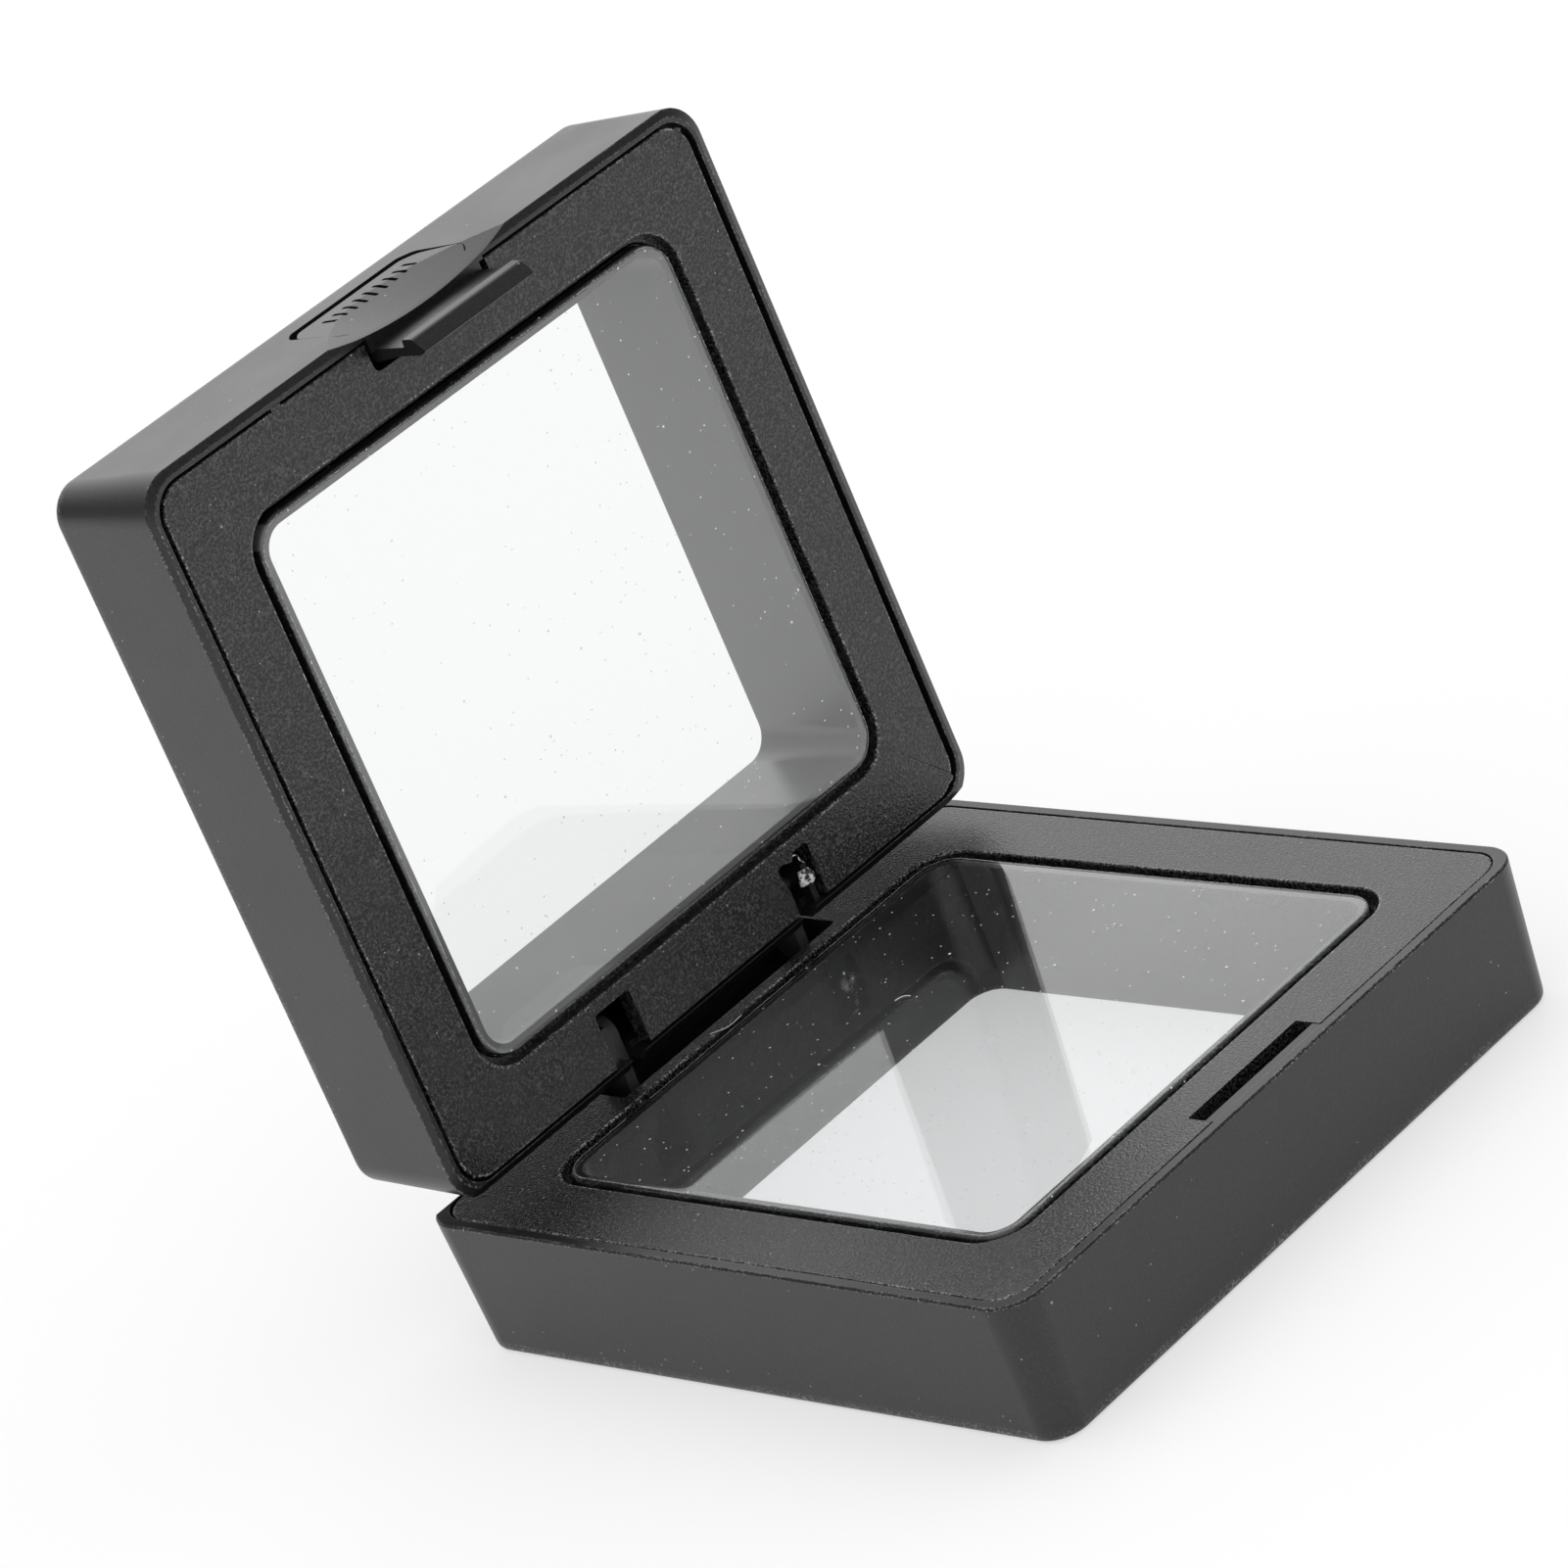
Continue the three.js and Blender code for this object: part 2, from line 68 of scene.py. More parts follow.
# Floor and lamp in metres, and how much of the floor is even white to the eye and in mirrors
FLOOR_REACH = 1.5
FLOOR_DROP = 0.02 * MM
PAPER_TONE = (0.95, 0.95, 0.95, 1)
EVEN_SHARE = 0.55
MIRROR_SHARE = 0.4
LAMP_PLACE = (0.25, 0.3, 0.8)
LAMP_TARGET = (0, 0, 0)
LAMP_SIZE = 0.8
LAMP_POWER = 1.0
WHITE = (1, 1, 1, 1)

# Rounds of outlines: longest share of a side that a round takes, and where the flat beside it begins
ROUND_STEPS = 5
ROUND_LIMIT = 0.45
FLAT_START = 1.8
FLAT_LIMIT = 0.49

# Angles in degrees: edges to be rounded, and edges that stay sharp when shaded
ROUND_ANGLE = 28
SHARP_ANGLE = 50
FILM_SHARP_ANGLE = 40

# Half of the box in millimetres, with z from its parting face to its outer face and the front towards -y
BOX_HALF = 25.0
HALF_DEPTH = 9.7
SIDE_DRAFT = 0.6
DRAFT_START = 0.3
OUTER_EDGE = 0.5
FINE_EDGE = 0.05
CORNER_RADIUS = 2.65
CORNER_STEPS = 24
WALL = 1.2
FLOOR_LEVEL = 8.5
SEAT_LEVEL = 1.3
SHELL_ROUND = 0.05
OVERRUN = 0.5

# Rim: width and height of its chamfer in each half, and the groove that the plate sits in
LID_CHAMFER = (0.5, 0.2)
BASE_CHAMFER = (0.12, 0.12)
CHAMFER_CORNER = 2.5
LID_GROOVE_EDGE = 0.05
BASE_GROOVE_EDGE = 0.06
GROOVE_HALF = 24.2
GROOVE_CORNER = 2.2
REAR_FLAT = 0.04

# Plate, with the half width of each one and how far it sits off centre in its rim
PLATE_HALF = 24.0
PLATE_CORNER = 2.0
PLATE_THICKNESS = 1.2
PLATE_EDGE = 0.08
PLATE_ROUND = 0.06
RIM_BAND = 0.5
LID_PLATE = (23.78, -0.08, 0)
BASE_PLATE = (24.1, 0.05, -0.12)
WINDOW_HALF = 19.35
WINDOW_EDGE = 0.1
COLLAR_OUTER = 19.5
COLLAR_INNER = 18.9
COLLAR_ROOT = 0.9
COLLAR_TOP = 2.8

# Tube round the window
TUBE_HALF = 18.0
TUBE_CORNER = 1.7
TUBE_DRAFT = 0.13
TUBE_WALL = 0.62
TUBE_TOP = 0.18
TUBE_EDGE = 0.25
TUBE_EDGE_HALF = TUBE_HALF + TUBE_WALL - TUBE_EDGE
TUBE_FOOT_EDGE = 0.22

# Film over the tube's end: radii of its round, length of its skirt, and the turns between which its edge
# gets a painted highlight
FILM_OUTER = 0.43
FILM_INNER = 0.31
FILM_SKIRT = 2.2
FILM_EDGE = (-1.3, -1.05)
FILM_STEPS = 13

# Painted sheen: a lighter tone painted on the tubes' inside in place of the reflection they show, and its
# shares: at the sides and at the rear of each half's tube, times one for the tube's end, and on the hinge
# arms, where it paints light into their shaded slots
PAINTED_SHEEN_TONE = (0.155, 0.155, 0.157)
LID_SHEEN_SHARES = (1.0, 1.0)
BASE_SHEEN_SHARES = (0.45, 0.1)
SHEEN_END_SHARE = 0.75
ARM_SHEEN_SHARE = 0.2
# Margins by which points are told to be of the tube's inside, foot and end
TUBE_SIDE_MARGIN = 0.02
TUBE_FOOT_MARGIN = 0.1
TUBE_END_MARGIN = 0.01

# Hinge pins and the bores for them; the cutter of an arm's bore is counted from the arm's left face
PIN_Y = 22.855
PIN_IN_LID = 2.784
PIN_ABOVE_BASE = 3.144
PIN_RADIUS = 0.6
PIN_INNER = 7.6
PIN_OUTER = 11.4
PIN_CHAMFER = 0.12
PIN_ROUND = 0.03
PIN_ROUND_ANGLE = 35
BORE_RADIUS = 0.7
BORE_END = 11.5
ARM_BORE = (-1.0, 2.0)
BAR_STEPS = 48

# Hinge arms, and their sockets in the base
ARM_INNER = 7.9
ARM_OUTER = 8.75
ARM_HALF = 1.2
ARM_STRAIGHT = -0.6
ARM_FRONT_STRAIGHT = -1.7
ARM_SLOPE = 1.1
ARM_ROUND = 0.08
HEAD_STEPS = 33
FOOT_FRONT = 20.5
FOOT_REAR_GAP = 0.15
FOOT_LIFT = 0.1
SOCKET_LEVEL = 6.5
SOCKET_WALL = 0.8
SOCKET_GAP = 0.1
SOCKET_REAR_GAP = 0.05

# Hinge slots of the plates, and notches, cheeks and lugs of the lid's shell
SLOT_INNER = 7.1
SLOT_OUTER = 10.3
SLOT_FRONT = 20.2
SLOT_ROUND = 0.3
CUTOUT_FRONT = 20.4
NOTCH_GAP = 0.2
NOTCH_END = 4.206
NOTCH_START = 0.6
NOTCH_ROUND = 0.2
CHEEK_OUTER = 11.9
LUG_INNER = 9.5
LUG_OUTER = 9.97
LUG_INSET = 0.55
LUG_REACH = 1.35
LUG_REAR = 24.4

# Push tab in the lid's front wall: half widths, levels and corners of its outline, then its depths inward
TAB_HALF = 5.75
TAB_FOOT_HALF = 5.15
TAB_SHOULDER_HALF = 5.55
TAB_TOP_HALF = 4.7
TAB_TOP = 6.6
TAB_SHOULDER = 5.8
TAB_WAIST = 2.0
TAB_FOOT = 1.4
TAB_SOFT_CORNER = 0.3
TAB_SHOULDER_CORNER = 0.5
TAB_REAR = 1.7
TAB_BLOCK_DEPTH = 3.0
TAB_ROUND = 0.04
# How far the opening, the rough block and the tab grow from it at the sides, and the first two at the top
OPENING_GROWTH = 0.12
OPENING_TOP_GROWTH = 0.8
ROUGH_GROWTH = 0.5
ROUGH_TOP_GROWTH = 0.4
TAB_GROWTH = 0.117
# How far the tab's foot stays up in the opening, and how far its upper right corner stays in
TAB_LIFT = 0.12
TAB_RIGHT_SLIT = 0.45
# Finger scoop across the tab
SCOOP_DEPTH = 1.02
SCOOP_HALF = 8.2
SCOOP_RISE = 5.0
SCOOP_MARGIN = 1.0
SCOOP_OUTSIDE = 2.0
SCOOP_LEVELS = 34
SCOOP_POINTS = 73
UNMARKED_MARGIN = 0.3
# Plain grip grooves on the tab
GRIP_COUNT = 9
GRIP_PITCH = 0.9
GRIP_HALF = 0.15
GRIP_DEPTH = 0.72
GRIP_LEVELS = (4.1, 5.5)
GRIP_ROUND = 0.14

# Hook, blade and spring tongue from the side, as (inward from the wall's outside, level, size of the round)
BLADE_FRONT = 1.52
BLADE_REAR = 2.4
TONGUE_FRONT = 1.853
TONGUE_REAR = 2.453
HOOK_PROFILE = [
    (BLADE_FRONT, TAB_FOOT, 0), (BLADE_FRONT, -2.9, 0.08), (1.01, -3.0, 0.08), (1.01, -3.85, 0.18),
    (1.86, -4.72, 0.12), (2.1, -4.18, 0.1), (2.1, -2.47, 0.2), (2.32, -0.6, 0.2), (BLADE_REAR, 0, 0.1),
    (BLADE_REAR, 5.6, 0.1), (TONGUE_REAR, 7.9, 0.1), (TONGUE_FRONT, 7.9, 0.1), (TONGUE_FRONT, 6.4, 0.1),
    (BLADE_FRONT, 6.4, 0),
]
# The same from the front, as (x, level, size of the round), and the corner cut from the tab beside it
HOOK_HALF = 5.1
HOOK_RIGHT = 4.85
HOOK_SIDES = [
    (-HOOK_HALF, 9, 0), (-HOOK_HALF, -5, 0.12), (4.75, -5, 0.7), (HOOK_RIGHT, -2.5, 0.3), (4.95, 0, 0.2),
    (4.95, 9, 0),
]
HOOK_ROUND = 0.05
FACE_STEP = 1.0
FACE_CUT_SIDE = 6.0
FACE_CUT_REAR = 2.0

# Room for the latch, inward from the front wall's outside: notches of the plates, catch and pocket of the
# base, and the lid's rib behind the tongue
LID_NOTCH = (-5.54, 5.36)
LID_NOTCH_DEPTH = 2.95
LID_NOTCH_ROUND = 0.55
BASE_NOTCH = (-5.3, 5.3)
BASE_NOTCH_DEPTH = 2.77
BASE_NOTCH_ROUND = 0.15
CATCH = (-5.25, 5.25)
CATCH_DEPTHS = (0.5, 1.45)
CATCH_LEVELS = (0.03, SEAT_LEVEL + 0.1)
POCKET = (-5.5, 5.5)
POCKET_DEPTHS = (0.75, BLADE_REAR)
POCKET_LEVELS = (2.4, 5.2)
RIB = (-4.0, 4.0)
RIB_DEPTHS = (TONGUE_REAR + 0.15, TONGUE_REAR + 0.95)
RIB_LEVELS = (6.55, FLOOR_LEVEL + OVERRUN)

# Right slot of the lid's plate, drawn in beside its arm by ragged flash, as (x, y, size of the round)
RAGGED_SLOT = [
    (7.25, 20.6, 0.2), (7.75, 20.4, 0.1), (8.6, 20.7, 0.08), (8.95, SLOT_FRONT, 0.1),
    (SLOT_OUTER, SLOT_FRONT, SLOT_ROUND), (SLOT_OUTER, BOX_HALF, 0), (7.52, BOX_HALF, 0),
    (7.56, 22.3, SLOT_ROUND),
]
# A bridge across the groove at the lid's front
BRIDGE = (-13.7, -12.9)
BRIDGE_DEPTHS = (0.81, 1.1)
BRIDGE_LEVELS = (0.03, 0.5)
# A flake at the right hinge slot, its rings as (share of the outline, level), and its wrinkles
FLAKE = [
    (10.05, 21.96), (10.22, 22.4), (10.1, 22.7), (9.73, 22.91), (9.13, 22.83), (8.86, 22.72), (8.84, 22.4),
    (9.03, 22.08), (9.16, 21.85), (9.62, 21.81),
]
FLAKE_RINGS = [(1, LUG_INSET + 0.02), (1.02, 0.42), (0.72, 0.2), (0.38, 0.32), (0.1, 0.12)]
FLAKE_WRINKLE = 0.13
FLAKE_WAVES = (23, 31)
# A curl of flash beside it, and two fibres on the base's film
CURL = [
    (8.61, 20.4, 0.2), (8.94, 20.47, 0.2), (9.27, 20.55, 0.2), (9.37, 20.81, 0.2), (9.37, 21.03, 0.25),
    (9.85, 21.5, 0.5),
]
CURL_RADIUS = 0.05
FIBRE = [(-2.71, 8.48, -0.03), (-3.07, 8.37, -0.05), (-3.34, 8.09, -0.05), (-3.39, 7.72, -0.03)]
FIBRE_RADIUS = 0.024
HAIR = [
    (2.9, 19.65, -0.04), (2.55, 19.3, -0.05), (2.13, 18.96, -0.04), (1.63, 18.91, -0.03),
    (1.13, 18.95, -0.03), (0.57, 19.0, -0.02),
]
HAIR_RADIUS = 0.02

# Plastics: tones of the grain's low and high spots, size and height of the grain in millimetres, share of
# cells that hold dust, and strength and tone of the light spots on edges, part wear and part painted
# highlight
SHELL_LOOK = {
    "low_tone": (0.004, 0.004, 0.0043), "high_tone": (0.015, 0.015, 0.0154), "roughness": 0.34,
    "specular": 0.63, "grain": 0.15, "grain_height": 0.01, "dust": 0.06, "scuff_and_glint": 0.6,
    "rubbed_and_glint_tone": (0.25, 0.25, 0.25),
}
PLATE_LOOK = {
    "low_tone": (0.001, 0.001, 0.0011), "high_tone": (0.062, 0.062, 0.063), "roughness": 0.27,
    "specular": 0.6, "grain": 0.18, "grain_height": 0.05, "dust": 0.1, "scuff_and_glint": 0.8,
    "rubbed_and_glint_tone": (0.35, 0.35, 0.35),
}
# The same in both: bands that the noises are cut to, lengths in millimetres, and dust as (spacing, radius)
PLASTIC_IOR = 1.5
GRAIN_BAND = (0.44, 0.72)
MOTTLE_SIZE = 6.0
MOTTLE_BAND = (0.3, 0.7)
MOTTLE_SPREAD = 0.02
# Light spots on rounded edges: part wear, part painted highlight
RUB_GLINT_SIZE = 0.16
RUB_GLINT_BAND = (0.5, 0.62)
RUB_GLINT_PATCH_SIZE = 3.0
RUB_GLINT_PATCH_BAND = (0.4, 0.6)
RUB_GLINT_PATCH_LEVELS = (0.3, 1.0)
FINE_DUST = (0.5, 0.075)
COARSE_DUST = (1.7, 0.12)
DUST_STRENGTH = 0.6
DUST_TONE = (0.4, 0.4, 0.4)
LINT_SIZE = 0.3
LINT_BAND = (0.42, 0.58)
LINT_TONES = ((0.03, 0.03, 0.03), (0.7, 0.7, 0.7))
LINT_SHEEN = 0.15

# Film: tint and gloss, slow waves, and specks as (spacing, radius, share of cells), lengths in millimetres
FILM_TINT = (0.962, 0.965, 0.968, 1)
FILM_IOR = 1.5
FILM_ROUGHNESS = 0.03
WAVE_SIZE = 9.0
WAVE_HEIGHT = 0.004
SPECK_TONE = (0.75, 0.75, 0.76, 1)
FINE_SPECKS = (0.5, 0.08, 0.12)
COARSE_SPECKS = (1.6, 0.12, 0.2)
# Painted highlight in a broken line where the film bends over the tube's edge
EDGE_GLINT_SIZE = 0.13
EDGE_GLINT_BAND = (0.4, 0.6)
EDGE_GLINT_STRENGTH = 0.55

# Steel of the pins
STEEL_TONE = (0.3, 0.3, 0.31, 1)
STEEL_GRAIN = 0.08
STEEL_BAND = (0.3, 0.7)
STEEL_ROUGHNESS = (0.3, 0.5)

# Sockets of the Mix node that carry colours
MIX_FIRST = 6
MIX_SECOND = 7
MIX_RESULT = 2


def draft(z):
    """Inset of the side wall at a height above the parting face."""
    slope = HALF_DEPTH - OUTER_EDGE - DRAFT_START
    return SIDE_DRAFT * max(0.0, z - DRAFT_START) / slope


def window_corner(half):
    """Corner radius of an outline that runs parallel to the window."""
    return TUBE_CORNER + half - TUBE_HALF


# Mesh building


def soften(points):
    """A closed outline of (u, v, ..., size), its corners rounded by size; the last column marks rounds."""
    points = [np.array(p, float) for p in points]
    out = []
    for i, point in enumerate(points):
        size, here = point[-1], point[:-1]
        if size <= 0:
            out.append(np.append(here, 0))
            continue
        ends = []
        for other in (points[i - 1][:-1], points[(i + 1) % len(points)][:-1]):
            span = other - here
            share = size / np.linalg.norm(span[:2])
            near, flat = min(share, ROUND_LIMIT), min(FLAT_START * share, FLAT_LIMIT)
            ends.append((here + span * near, here + span * flat))
        (start, before), (end, after) = ends
        out.append(np.append(before, 0))
        for t in np.linspace(0, 1, ROUND_STEPS + 1):
            out.append(np.append((1 - t) ** 2 * start + 2 * t * (1 - t) * here + t * t * end, 1))
        out.append(np.append(after, 0))
    return np.array(out)


def ring(half, z, radius):
    """A rounded square, anticlockwise seen from above."""
    quarter = math.pi / 2
    turns = [quarter * (c + s / CORNER_STEPS) for c in range(4) for s in range(CORNER_STEPS + 1)]
    middles = [quarter * (c + 0.5) for c in range(4) for s in range(CORNER_STEPS + 1)]
    reach = (half - radius) * math.sqrt(2)
    return [
        (reach * math.cos(m) + radius * math.cos(t), reach * math.sin(m) + radius * math.sin(t), z)
        for m, t in zip(middles, turns)
    ]


def skin(name, rings, closed, marks=None):
    """A mesh through rings of points that run up the outside, closed on itself or with flat ends."""
    count = len(rings[0])
    vertices = [p for r in rings for p in r]
    faces = []
    for k in range(len(rings) if closed else len(rings) - 1):
        low, high = k * count, (k + 1) % len(rings) * count
        for i in range(count):
            j = (i + 1) % count
            faces.append((low + i, low + j, high + j, high + i))
    if not closed:
        faces.append(tuple(reversed(range(count))))
        faces.append(tuple(range(len(vertices) - count, len(vertices))))
    mesh = bpy.data.meshes.new(name)
    mesh.from_pydata(vertices, [], faces)
    # Marked points get the light spots of edge wear and painted highlights in the materials
    mark(mesh, "wear_and_glint", np.repeat(marks if marks is not None else np.zeros(len(rings)), count))
    return link(name, mesh)


def mark(mesh, name, values):
    """Keeps a number for each point, which the materials read by its name."""
    mesh.attributes.new(name, "FLOAT", "POINT").data.foreach_set("value", np.array(values, float))


def link(name, data):
    """An object in the scene that shows the data."""
    made = bpy.data.objects.new(name, data)
    bpy.context.scene.collection.objects.link(made)
    return made


def sweep(name, section, closed=True):
    """A ring-shaped solid from a section of (half, z, corner radius, size of the round)."""
    rows = soften(section)
    return skin(name, [ring(*row[:3]) for row in rows], closed, rows[:, 3])


def prism(outline, axis, low, high, name="cutter"):
    """An outline drawn out along an axis, in the order (y, z), (x, z) or (x, y)."""
    places = {"x": lambda u, v, w: (w, u, v), "y": lambda u, v, w: (u, w, v), "z": lambda u, v, w: (u, v, w)}
    rings = [[places[axis](p[0], p[1], w) for p in outline] for w in (low, high)]
    made = skin(name, rings, False)
    shape = bmesh.new()
    shape.from_mesh(made.data)
    bmesh.ops.recalc_face_normals(shape, faces=shape.faces)
    shape.to_mesh(made.data)
    shape.free()
    return made


def box(low, high, round_=0.0, axis="z"):
    """A box between two corners, with rounded edges along one axis."""
    u, v, w = {"x": (1, 2, 0), "y": (0, 2, 1), "z": (0, 1, 2)}[axis]
    corners = [(low[u], low[v]), (high[u], low[v]), (high[u], high[v]), (low[u], high[v])]
    outline = soften([(*c, round_) for c in corners])[:, :2] if round_ else corners
    return prism(outline, axis, low[w], high[w])


def front_box(across, inward, levels, round_=0.0, axis="z"):
    """A box at the front, by its spans along x, inward from the front wall's outside, and along z."""
    low, high = zip(across, (inward[0] - BOX_HALF, inward[1] - BOX_HALF), levels)
    return box(low, high, round_, axis)


def side_box(side, inner, outer, front_low, rear_high, round_=0.0, axis="z"):
    """A box on the right side, or mirrored to the left."""
    left, right = (inner, outer) if side > 0 else (-outer, -inner)
    return box((left, *front_low), (right, *rear_high), round_, axis)


def both_sides(make):
    """What a function makes for the right and for the left side."""
    return [make(1), make(-1)]


def bar(y, z, radius, low, high, chamfer=0.0):
    """A round bar along x, with a chamfer at both ends."""
    turns = [2 * math.pi * i / BAR_STEPS for i in range(BAR_STEPS)]
    stations = [(low, radius), (high, radius)]
    if chamfer:
        thin = radius - chamfer
        stations = [(low, thin), (low + chamfer, radius), (high - chamfer, radius), (high, thin)]
    rings = [[(x, y + r * math.cos(t), z + r * math.sin(t)) for t in turns] for x, r in stations]
    return skin("bar", rings, False)


def settle(made):
    """Applies an object's modifiers to its mesh."""
    bpy.context.view_layer.update()
    mesh = bpy.data.meshes.new_from_object(made.evaluated_get(bpy.context.evaluated_depsgraph_get()))
    made.modifiers.clear()
    made.data = mesh
    return made


def join(made, others, operation):
    """Cuts, joins or intersects a solid with others, which are used up."""
    for other in others:
        modifier = made.modifiers.new("join", "BOOLEAN")
        modifier.operation, modifier.object, modifier.solver = operation, other, "EXACT"
    settle(made)
    for other in others:
        bpy.data.objects.remove(other)
    return made


def cut(made, *others):
    return join(made, others, "DIFFERENCE")


def round_edges(made, width, segments=3, angle=ROUND_ANGLE):
    """Rounds the edges that cuts have left."""
    bevel = made.modifiers.new("round", "BEVEL")
    bevel.width, bevel.segments, bevel.limit_method = width, segments, "ANGLE"
    bevel.angle_limit = math.radians(angle)
    bevel.use_clamp_overlap = True
    return settle(made)


def smooth(made, angle):
    """Shades smooth, apart from edges sharper than the angle."""
    made.data.shade_smooth()
    made.data.set_sharp_from_angle(angle=math.radians(angle))
    return made


def shade(made):
    """Shades rounds smooth and flat faces flat."""
    smooth(made, SHARP_ANGLE)
    modifier = made.modifiers.new("weigh", "WEIGHTED_NORMAL")
    modifier.keep_sharp = True
    return settle(made)


def thread(points, radius):
    """A thin fibre along a smooth line."""
    curve = bpy.data.curves.new("thread", "CURVE")
    curve.dimensions, curve.bevel_depth, curve.bevel_resolution = "3D", radius, 1
    spline = curve.splines.new("NURBS")
    spline.points.add(len(points) - 1)
    for knot, point in zip(spline.points, points):
        knot.co = (*point, 1)
    spline.use_endpoint_u, spline.order_u = True, 3
    line = link("thread", curve)
    bpy.context.view_layer.update()
    mesh = bpy.data.meshes.new_from_object(line.evaluated_get(bpy.context.evaluated_depsgraph_get()))
    bpy.data.objects.remove(line)
    return link("thread", mesh)


def attach(made, *others):
    """Adds loose bits to a piece, marked as lint."""
    for other in others:
        mark(other.data, "lint", np.ones(len(other.data.vertices)))
    with bpy.context.temp_override(active_object=made, selected_editable_objects=[made, *others]):
        bpy.ops.object.join()
    return made


# Parts of both halves


def plain_shell(name, painted_sheen_shares, chamfer, groove_edge):
    """The hollow shell of a half: side wall, outer face and the tube round the window."""
    chamfer_width, chamfer_height = chamfer
    wall_inside = BOX_HALF - WALL
    tube_outside = TUBE_HALF + TUBE_WALL
    tube_foot = TUBE_HALF + TUBE_DRAFT
    tube_back = tube_outside + TUBE_DRAFT
    shell = sweep(name, [
        (BOX_HALF, chamfer_height, CORNER_RADIUS, FINE_EDGE),
        (BOX_HALF - SIDE_DRAFT, HALF_DEPTH, CORNER_RADIUS - SIDE_DRAFT, OUTER_EDGE),
        (tube_foot, HALF_DEPTH, window_corner(tube_foot), TUBE_FOOT_EDGE),
        (TUBE_HALF, TUBE_TOP, TUBE_CORNER, FINE_EDGE),
        (tube_outside, TUBE_TOP, window_corner(tube_outside), TUBE_EDGE),
        (tube_back, FLOOR_LEVEL, window_corner(tube_back), 0),
        (wall_inside - draft(FLOOR_LEVEL), FLOOR_LEVEL, PLATE_CORNER, 0),
        (wall_inside - draft(SEAT_LEVEL), SEAT_LEVEL, PLATE_CORNER, 0),
        (GROOVE_HALF, SEAT_LEVEL, GROOVE_CORNER, 0),
        (GROOVE_HALF, 0, GROOVE_CORNER, groove_edge),
        (BOX_HALF - chamfer_width, 0, CHAMFER_CORNER, FINE_EDGE),
    ])
    # Painted sheen: the tube's inside is marked for a lighter tone that stands in for its reflection
    mark(shell.data, "tube", [painted_sheen_share(vertex.co, *painted_sheen_shares) for vertex in shell.data.vertices])
    start, far = GROOVE_HALF + REAR_FLAT, BOX_HALF + OVERRUN
    wedge = [(start - OVERRUN, -OVERRUN), (far, -OVERRUN), (far, far - start)]
    return cut(shell, prism(wedge, "x", -far, far))


def painted_sheen_share(point, at_side, at_rear):
    """Share of the painted sheen at a point of a shell."""
    x, y, z = point
    if max(abs(x), abs(y)) >= TUBE_EDGE_HALF + TUBE_SIDE_MARGIN or z >= HALF_DEPTH - TUBE_FOOT_MARGIN:
        return 0
    share = at_rear if y > TUBE_HALF - TUBE_CORNER else at_side
    return share * SHEEN_END_SHARE if z < TUBE_TOP + TUBE_END_MARGIN else share


def plain_plate(name, half, across, along):
    """The plate that closes the hollow of a half, with its film collar."""
    plate = sweep(name, [
        (PLATE_HALF, 0, PLATE_CORNER, PLATE_EDGE),
        (PLATE_HALF, PLATE_THICKNESS, PLATE_CORNER, 0),
        (COLLAR_OUTER, PLATE_THICKNESS, window_corner(COLLAR_OUTER), 0),
        (COLLAR_OUTER, COLLAR_TOP, window_corner(COLLAR_OUTER), 0),
        (COLLAR_INNER, COLLAR_TOP, window_corner(COLLAR_INNER), 0),
        (COLLAR_INNER, COLLAR_ROOT, window_corner(COLLAR_INNER), 0),
        (WINDOW_HALF, COLLAR_ROOT, window_corner(WINDOW_HALF), 0),
        (WINDOW_HALF, 0, window_corner(WINDOW_HALF), WINDOW_EDGE),
    ])
    # Its rim is drawn to its own width and set off centre, while the window stays where it is
    for vertex in plate.data.vertices:
        x, y, z = vertex.co
        if max(abs(x), abs(y)) > PLATE_HALF - RIM_BAND:
            vertex.co = (x * half / PLATE_HALF + across, y + along, z)
    return plate


def film_round(radius, turns):
    """Rows of the film where it bends over the tube's edge."""
    for turn in turns:
        half = TUBE_EDGE_HALF + radius * math.cos(turn)
        yield half, TUBE_TOP + TUBE_EDGE + radius * math.sin(turn), window_corner(half)


def film(name):
    """The film, drawn over the tube's end like a drum skin."""
    turns = np.linspace(-math.pi / 2, 0, FILM_STEPS)
    outer, inner = TUBE_EDGE_HALF + FILM_OUTER, TUBE_EDGE_HALF + FILM_INNER
    rows = [
        *film_round(FILM_OUTER, turns),
        (outer, FILM_SKIRT, window_corner(outer)),
        (inner, FILM_SKIRT, window_corner(inner)),
        *film_round(FILM_INNER, turns[::-1]),
    ]
    # Turns of the round that carry the painted edge highlight
    marks = [FILM_EDGE[0] < turn < FILM_EDGE[1] for turn in turns] + [0] * (len(turns) + 2)
    return smooth(skin(name, [ring(*row) for row in rows], False, np.array(marks)), FILM_SHARP_ANGLE)


def base_film():
    """The base's film, with fibres lying on it."""
    return attach(film("base_film_dressed"), thread(FIBRE, FIBRE_RADIUS), thread(HAIR, HAIR_RADIUS))


# Latch outlines and scoop


def tab_outline(side_growth, top_growth, foot, lift=0.0, right_slit=0.0):
    """Outline of the tab in the lid's front wall, grown outward and drawn down to a foot."""
    heel, waist = TAB_FOOT - side_growth + lift, TAB_WAIST - side_growth + lift
    half = [
        (TAB_FOOT_HALF, foot, 0), (TAB_FOOT_HALF, heel, 0), (TAB_HALF, waist, TAB_SOFT_CORNER),
        (TAB_SHOULDER_HALF, TAB_SHOULDER + top_growth, TAB_SHOULDER_CORNER),
        (TAB_TOP_HALF, TAB_TOP + top_growth, TAB_SOFT_CORNER),
    ]
    right = [(x + side_growth - (right_slit if z >= TAB_SHOULDER else 0), z, r) for x, z, r in half]
    left = [(-x - side_growth, z, r) for x, z, r in reversed(half)]
    return soften(right + left)[:, :2]


